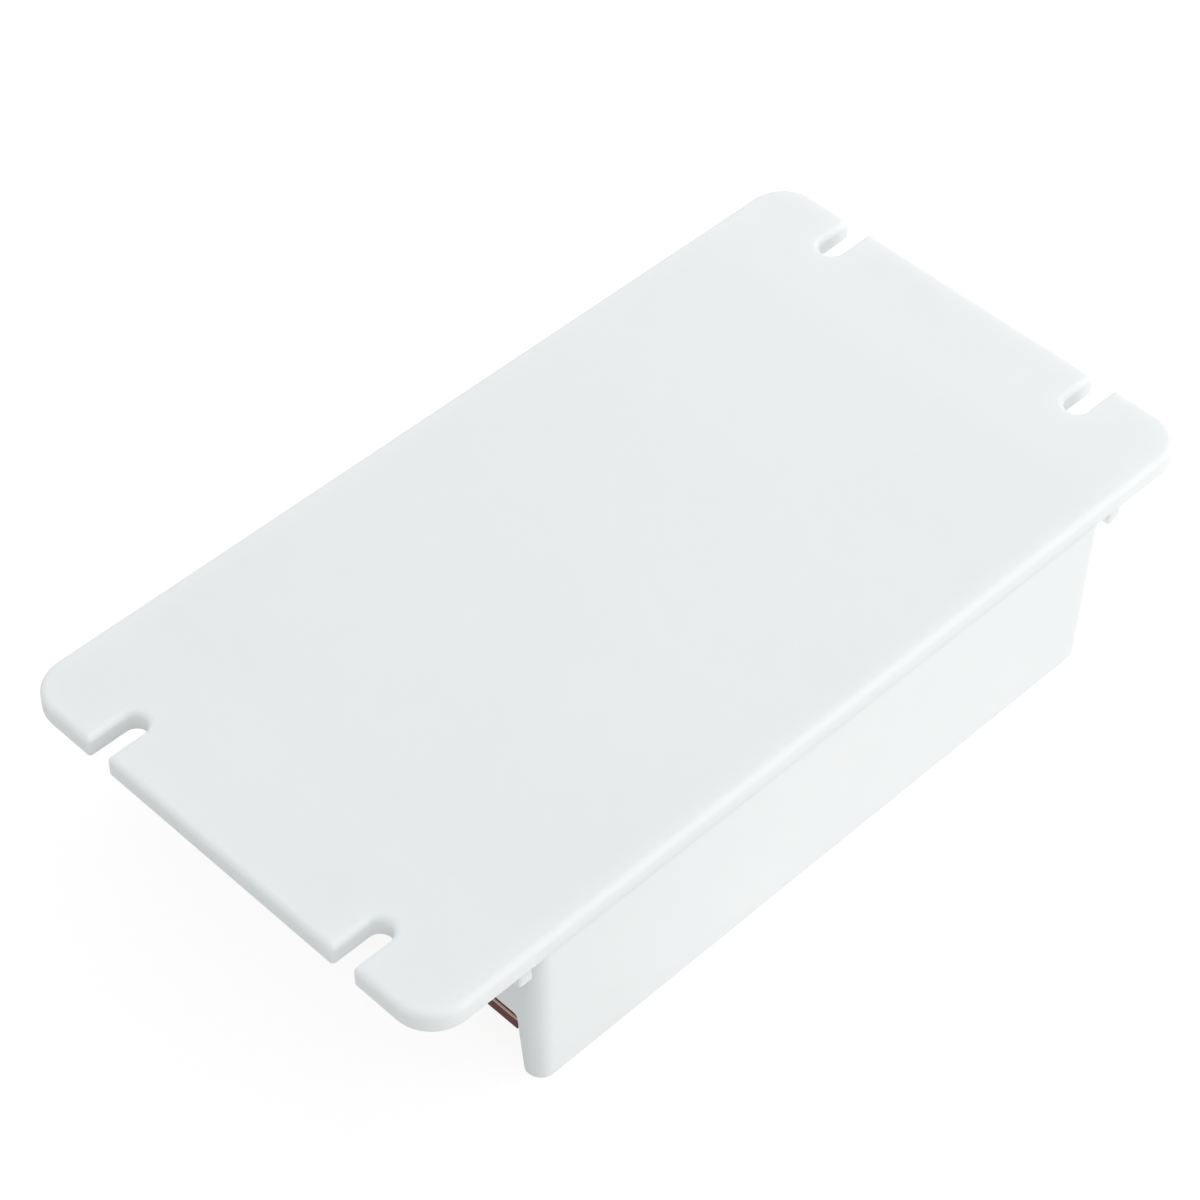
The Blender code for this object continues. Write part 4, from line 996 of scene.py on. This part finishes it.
def component(name, node, body, axis, reach, marks=None, middle=None):
    """A component with two finishes: moulded or lacquered resin within reach of its middle along
    one axis, and tinned metal for the leads beyond it. Marks are painted on the resin."""
    low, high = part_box(node)
    centre = (low + high) / 2
    if middle is not None:
        centre[axis] = middle
    made, wiring, shader = new_material(name, coat=body.get("coat", 0.0))
    corner_low, corner_high = [-1.0] * 3, [1.0] * 3
    corner_low[axis], corner_high[axis] = centre[axis] - reach, centre[axis] + reach
    inside = wiring.use(WITHIN, {"Low": corner_low, "High": corner_high})["Mask"]
    inputs = {
        "Colour": (*body["colour"], 1),
        "Cloud Colour": (*body["cloud"], 1),
        "Roughness": body["roughness"],
    }
    resin = wiring.use(MOULDED, inputs)
    tin = wiring.use(METAL)
    colour = resin["Colour"]
    if marks:
        size = high - low
        size[axis] = 2 * reach
        colour = marks(wiring, colour, place_of(wiring, centre), size)
    wiring.feed(shader.inputs["Base Color"], wiring.mix(inside, tin["Colour"], colour))
    rough, height = (
        wiring.span(inside, 0.0, 1.0, tin[label], resin[label]) for label in ("Roughness", "Height")
    )
    wiring.feed(shader.inputs["Roughness"], rough)
    wiring.feed(shader.inputs["Metallic"], wiring.math("SUBTRACT", 1.0, inside))
    add_relief(wiring, shader, height, COMPONENT_RELIEF)
    return made


# Marks on the components: places from the middle of each, half widths and paints
RING_HALF = 0.00028
RING_PAINTS = (
    (-0.0022, (0.13, 0.035, 0.01, 1)),
    (-0.0011, (0.012, 0.012, 0.013, 1)),
    (0.0, (0.5, 0.03, 0.02, 1)),
    (0.0021, (0.42, 0.27, 0.06, 1)),
)
CATHODE_PLACE = -0.0032
CATHODE_HALF = 0.0007
CATHODE_PAINT = (0.62, 0.63, 0.64, 1)
STRIPE_START = 0.42
STRIPE_PAINT = (0.5, 0.53, 0.56, 1)
END_DEPTH = 0.0002
END_SHARE = 0.41
END_METAL = (0.55, 0.56, 0.57, 1)
SCORE_HALF = 0.00012
# Painted shade: the scored cross on the can's end is dark in colour only, with no groove cut
SCORE_SHADE_COLOUR = (0.2, 0.2, 0.21, 1)
DOT_INSET = (0.0009, 0.0012)
DOT_RADIUS = 0.00035
DOT_COLOUR = (0.05, 0.05, 0.052, 1)


def resistor_bands(wiring, colour, place, size):
    """Four painted rings and the wider gap before the last one."""
    for along, paint in RING_PAINTS:
        colour = wiring.mix(wiring.near(place[1], along, RING_HALF), colour, paint)
    return colour


def diode_band(wiring, colour, place, size):
    """One pale ring at the cathode's end."""
    return wiring.mix(wiring.near(place[0], CATHODE_PLACE, CATHODE_HALF), colour, CATHODE_PAINT)


def can_marks(wiring, colour, place, size):
    """A pale stripe down the sleeve beside the negative lead, and the bare end with its cross,
    whose scored grooves are painted shade.
    """
    x, y, z = place
    stripe = wiring.math("GREATER_THAN", x, size.x * STRIPE_START)
    colour = wiring.mix(stripe, colour, STRIPE_PAINT)
    end = wiring.math("GREATER_THAN", z, size.z / 2 - END_DEPTH)
    disc = wiring.math("LESS_THAN", wiring.hypot(x, y), size.x * END_SHARE)
    bare = wiring.math("MULTIPLY", end, disc)
    colour = wiring.mix(bare, colour, END_METAL)
    # Painted shade in the grooves of the scored cross
    score_shade = wiring.math("MAXIMUM", wiring.near(x, 0.0, SCORE_HALF), wiring.near(y, 0.0, SCORE_HALF))
    return wiring.mix(wiring.math("MULTIPLY", score_shade, bare), colour, SCORE_SHADE_COLOUR)


def first_lead_dot(wiring, colour, place, size):
    """A shallow round mark beside the first lead."""
    across = wiring.math("SUBTRACT", place[0], DOT_INSET[0] - size.x / 2)
    along = wiring.math("SUBTRACT", place[1], DOT_INSET[1])
    dot = wiring.math("LESS_THAN", wiring.hypot(across, along), DOT_RADIUS)
    return wiring.mix(dot, colour, DOT_COLOUR)


# Radio board: solder mask and the header's pads
MASK_SCALE = 900.0
MASK_GREEN = ((0.008, 0.075, 0.03, 1), (0.02, 0.13, 0.055, 1))
MASK_ROUGHNESS = (0.28, 0.42)
MASK_RELIEF = 0.000008
PAD_INSET = 0.002
PAD_RADIUS = 0.0008
PAD_TIN = (0.6, 0.6, 0.58, 1)


def radio_laminate():
    """Glass laminate under green solder mask, with a row of tinned pads at the header's edge."""
    low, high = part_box("radio_board")
    made, wiring, shader = new_material("radio laminate", coat=0.3)
    x, y, _ = place_of(wiring, (low + high) / 2)
    cloud = wiring.noise(wiring.place(), MASK_SCALE, 3.0, 0.6)
    mask = wiring.mix(cloud, *MASK_GREEN)
    along = wiring.math("PINGPONG", wiring.math("ADD", x, LEG_PITCH * 20), LEG_PITCH / 2)
    across = wiring.math("SUBTRACT", y, PAD_INSET - (high.y - low.y) / 2)
    pad = wiring.math("LESS_THAN", wiring.hypot(along, across), PAD_RADIUS)
    pad = wiring.math("MULTIPLY", pad, wiring.near(x, 0.0, LEG_PITCH * HEADER_PINS / 2))
    wiring.feed(shader.inputs["Base Color"], wiring.mix(pad, mask, PAD_TIN))
    wiring.feed(shader.inputs["Metallic"], pad)
    wiring.feed(shader.inputs["Roughness"], wiring.span(cloud, *NOISE_EDGES, *MASK_ROUGHNESS))
    add_relief(wiring, shader, cloud, MASK_RELIEF)
    return made


BLACK = {"colour": (0.016, 0.016, 0.018), "cloud": (0.026, 0.025, 0.026), "roughness": 0.48}
SLEEVE = {"colour": (0.010, 0.018, 0.05), "cloud": (0.014, 0.024, 0.06), "roughness": 0.3}
LACQUER = {"colour": (0.5, 0.33, 0.16), "cloud": (0.42, 0.27, 0.12), "roughness": 0.42}
SLEEVE["coat"] = 0.4
LACQUER["coat"] = 0.2


def lead_places():
    """Each lead's place in the board's underside, with its radius and the solder's spread."""
    rows = [(colour + "_transistor", LEG_RADIUS, 3, 0, LEG_PITCH) for colour in CHANNELS]
    rows += [("voltage_regulator", REGULATOR_LEG_RADIUS, 3, LEG_PITCH / 2, 0)]
    rows += [(f"gate_resistor_{number}", LEAD_RADIUS, 2, 0, RESISTOR_SPAN) for number in RESISTORS]
    rows += [
        ("protection_diode", DIODE_LEAD_RADIUS, 2, DIODE_SPAN, 0),
        ("reservoir_capacitor", LEAD_RADIUS, 2, CAN_SPAN, 0),
        ("filter_capacitor", LEAD_RADIUS, 2, CAN_SPAN / 2, 0),
        ("crystal", LEAD_RADIUS, 2, 0, CRYSTAL_SPAN),
        ("radio_header", LEAD_RADIUS, HEADER_PINS, LEG_PITCH, 0),
    ]
    places = []
    for node, radius, count, across, along in rows:
        low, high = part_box(node)
        x, y = (low.x + high.x) / 2, (low.y + high.y) / 2
        spread = SOLDER_SPREAD
        if "transistor" in node:
            x = high.x - LEG_THICKNESS / 2
        if "regulator" in node:
            y = low.y + REGULATOR_RADIUS
            spread = SOLDER_SPREAD / 2
        for step in np.arange(count) - (count - 1) / 2:
            places.append((x + step * across, y + step * along, radius, spread))
    return places


def solder_cone(x, y, radius, spread, face, up):
    """A fillet of solder round a lead: its radius falls from the pad's to the lead's as the cube
    of what is left of its height, so its flank is hollow."""
    left = np.linspace(0, 1, JOINT_LEVELS)
    radii = radius + (spread - SOLDER_FLAT) * left ** 3
    radii = np.append(radii, radii[-1] + SOLDER_FLAT)
    heights = np.append(1 - left, 0.0) * SOLDER_HEIGHT + SOLDER_LIFT
    radii, heights = np.append(radii, radii[-1]), np.append(heights, 0.0)
    shape = turned(radii, heights, (x, y), JOINT_COUNT)
    points = shape[0] * (1, 1, 1 if up else -1) + (0, 0, face)
    faces = shape[1] if up else [corners[::-1] for corners in shape[1]]
    return points, faces


def make_solder(finish):
    """A joint for each lead under the board and for each clamp's pin on top of it, as one piece."""
    joints = [solder_cone(*place, BOARD_UNDERSIDE, False) for place in lead_places()]
    for name, ways in (("input", INPUT_WAYS), ("output", OUTPUT_WAYS)):
        low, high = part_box(name + "_terminal_block")
        x = (low.x + high.x) / 2
        for y in row(ways):
            joints.append(solder_cone(x, y, PIN_HALF + PIN_TAPER, SOLDER_SPREAD, BOARD_TOP, True))
    add_piece("solder_joints", mesh_of("solder_joints", together(joints)), finish)


def dress_components():
    """Give each packed component that keeps its own shape its finish."""
    looks = {
        "crystal": metal("crystal can", (0.68, 0.68, 0.66), (0.5, 0.5, 0.47), 0.24),
        "antenna": metal("enamelled wire", (0.72, 0.33, 0.16), (0.55, 0.24, 0.11), 0.24),
        "radio_board": radio_laminate(),
    }
    for colour in CHANNELS:
        node = colour + "_transistor"
        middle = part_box(node)[0].x + TAB_LENGTH + TRANSISTOR_LENGTH / 2
        looks[node] = component(node, node, BLACK, 0, TRANSISTOR_LENGTH / 2, middle=middle)
    for number in RESISTORS:
        node = f"gate_resistor_{number}"
        looks[node] = component(node, node, LACQUER, 1, RESISTOR_LENGTH / 2, resistor_bands)
    node = "protection_diode"
    looks[node] = component("diode", node, BLACK, 0, DIODE_LENGTH / 2, diode_band)
    for node in ("reservoir_capacitor", "filter_capacitor"):
        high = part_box(node)[1].z
        half = (high - BOARD_TOP - STAND_OFF) / 2
        looks[node] = component(node, node, SLEEVE, 2, half + HAIRLINE, can_marks, high - half)
    node = "voltage_regulator"
    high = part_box("voltage_regulator")[1].z
    half = (high - BOARD_TOP - REGULATOR_STAND) / 2
    looks[node] = component("regulator", node, BLACK, 2, half + HAIRLINE, middle=high - half)
    for node in ("microcontroller", "memory_chip", "radio_chip"):
        looks[node] = component(node, node, BLACK, 1, CHIP_WIDTH / 2, first_lead_dot)
    node = "radio_header"
    middle = BOARD_TOP + STAND_OFF + HEADER_HEIGHT / 2
    looks[node] = component("pin header", node, BLACK, 2, HEADER_HEIGHT / 2, middle=middle)
    for name, look in looks.items():
        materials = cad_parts[name].data.materials
        materials.clear()
        materials.append(look)


terminal_green = plastic("terminal green", (0.03, 0.2, 0.085), (0.022, 0.165, 0.065), 0.42, 0.00001)
steel = metal("plated steel", (0.66, 0.66, 0.63), (0.45, 0.45, 0.42), 0.26)
zinc = metal("yellow zinc", (0.68, 0.62, 0.45), (0.5, 0.47, 0.36), 0.3)
make_board(laminate())
make_terminals(terminal_green, steel, zinc)
make_solder(metal("solder", (0.62, 0.62, 0.61), (0.5, 0.5, 0.49), 0.22))
dress_components()


# Stage: the floor's paper, and the level of the light from all round
FLOOR_REACH = 6.0
FLOOR_HEIGHT = -0.0001
PAPER_EDGES = (-0.042, 0.015)
PAPER_GREYS = ((0.70, 0.695, 0.69, 1), (0.94, 0.935, 0.93, 1))
PAPER_GLOW = 1.16
GLOW_SHARE = 0.76
WORLD_LEVEL = 0.785
WORLD_TINT = (0.965, 0.985, 0.995, 1)


def seen_directly(wiring):
    """1 for rays from the camera, in reflections and through glass, 0 for all others."""
    path = wiring.add("ShaderNodeLightPath").outputs
    seen = wiring.math("MAXIMUM", path["Is Camera Ray"], path["Is Glossy Ray"])
    return wiring.math("MAXIMUM", seen, path["Is Transmission Ray"])


def add_stage():
    """A pale floor that shows white where nothing shades it and keeps the shadow of the case. Its
    paper gets paler towards the -Y side, which fills the long wall and the plate's rim from
    below."""
    sheet = oblong(-FLOOR_REACH, -FLOOR_REACH, FLOOR_REACH, FLOOR_REACH)
    mesh = bpy.data.meshes.new("floor")
    mesh.from_pydata(flat_ring(sheet, FLOOR_HEIGHT).tolist(), [], [[0, 1, 2, 3]])
    floor = added("floor", mesh)
    made = bpy.data.materials.new("pale floor")
    made.use_nodes = True
    wiring = Wiring(made.node_tree)
    made.node_tree.nodes.clear()
    x, y, _ = wiring.parts(wiring.place())
    pale = wiring.span(wiring.math("SUBTRACT", x, y), *PAPER_EDGES)
    paper = wiring.add("ShaderNodeBsdfDiffuse", {"Color": wiring.mix(pale, *PAPER_GREYS)})
    glow = wiring.add("ShaderNodeEmission", {"Color": (1, 1, 1, 1), "Strength": PAPER_GLOW})
    share = wiring.math("MULTIPLY", seen_directly(wiring), GLOW_SHARE)
    mixed = wiring.add("ShaderNodeMixShader", {0: share, 1: paper.outputs[0], 2: glow.outputs[0]})
    wiring.add("ShaderNodeOutputMaterial", {"Surface": mixed.outputs[0]})
    mesh.materials.append(made)


def add_lamp(name, place, size, power, colour, target=(0, 0, 0.01)):
    """A soft oblong lamp, turned towards its target."""
    lamp = bpy.data.lights.new(name, "AREA")
    lamp.color = colour
    lamp.shape = "RECTANGLE"
    lamp.size, lamp.size_y = size
    lamp.energy = power
    holder = added(name, lamp)
    holder.location = place
    aim = Vector(target) - Vector(place)
    holder.rotation_euler = aim.to_track_quat("-Z", "Y").to_euler()


def add_light():
    """Even light from all round, a soft lamp low beyond the +X, -Y corner, and a small one above
    the +X end."""
    world = bpy.data.worlds.new("studio")
    bpy.context.scene.world = world
    world.use_nodes = True
    wiring = Wiring(world.node_tree)
    world.node_tree.nodes.clear()
    seen = seen_directly(wiring)
    strength = wiring.span(seen, 0.0, 1.0, WORLD_LEVEL, 1.0)
    tint = wiring.mix(seen, WORLD_TINT, (1, 1, 1, 1))
    back = wiring.add("ShaderNodeBackground", {"Color": tint, "Strength": strength})
    wiring.add("ShaderNodeOutputWorld", {"Surface": back.outputs[0]})
    add_lamp("key", (0.60, -0.80, 0.11), (0.5, 0.2), 2.2, (1.0, 0.965, 0.935))
    add_lamp("end light", (0.25, -0.04, 0.42), (0.3, 0.3), 0.385, (1.0, 1.0, 1.0))


add_stage()
add_light()
bpy.context.scene.view_settings.view_transform = "Standard"
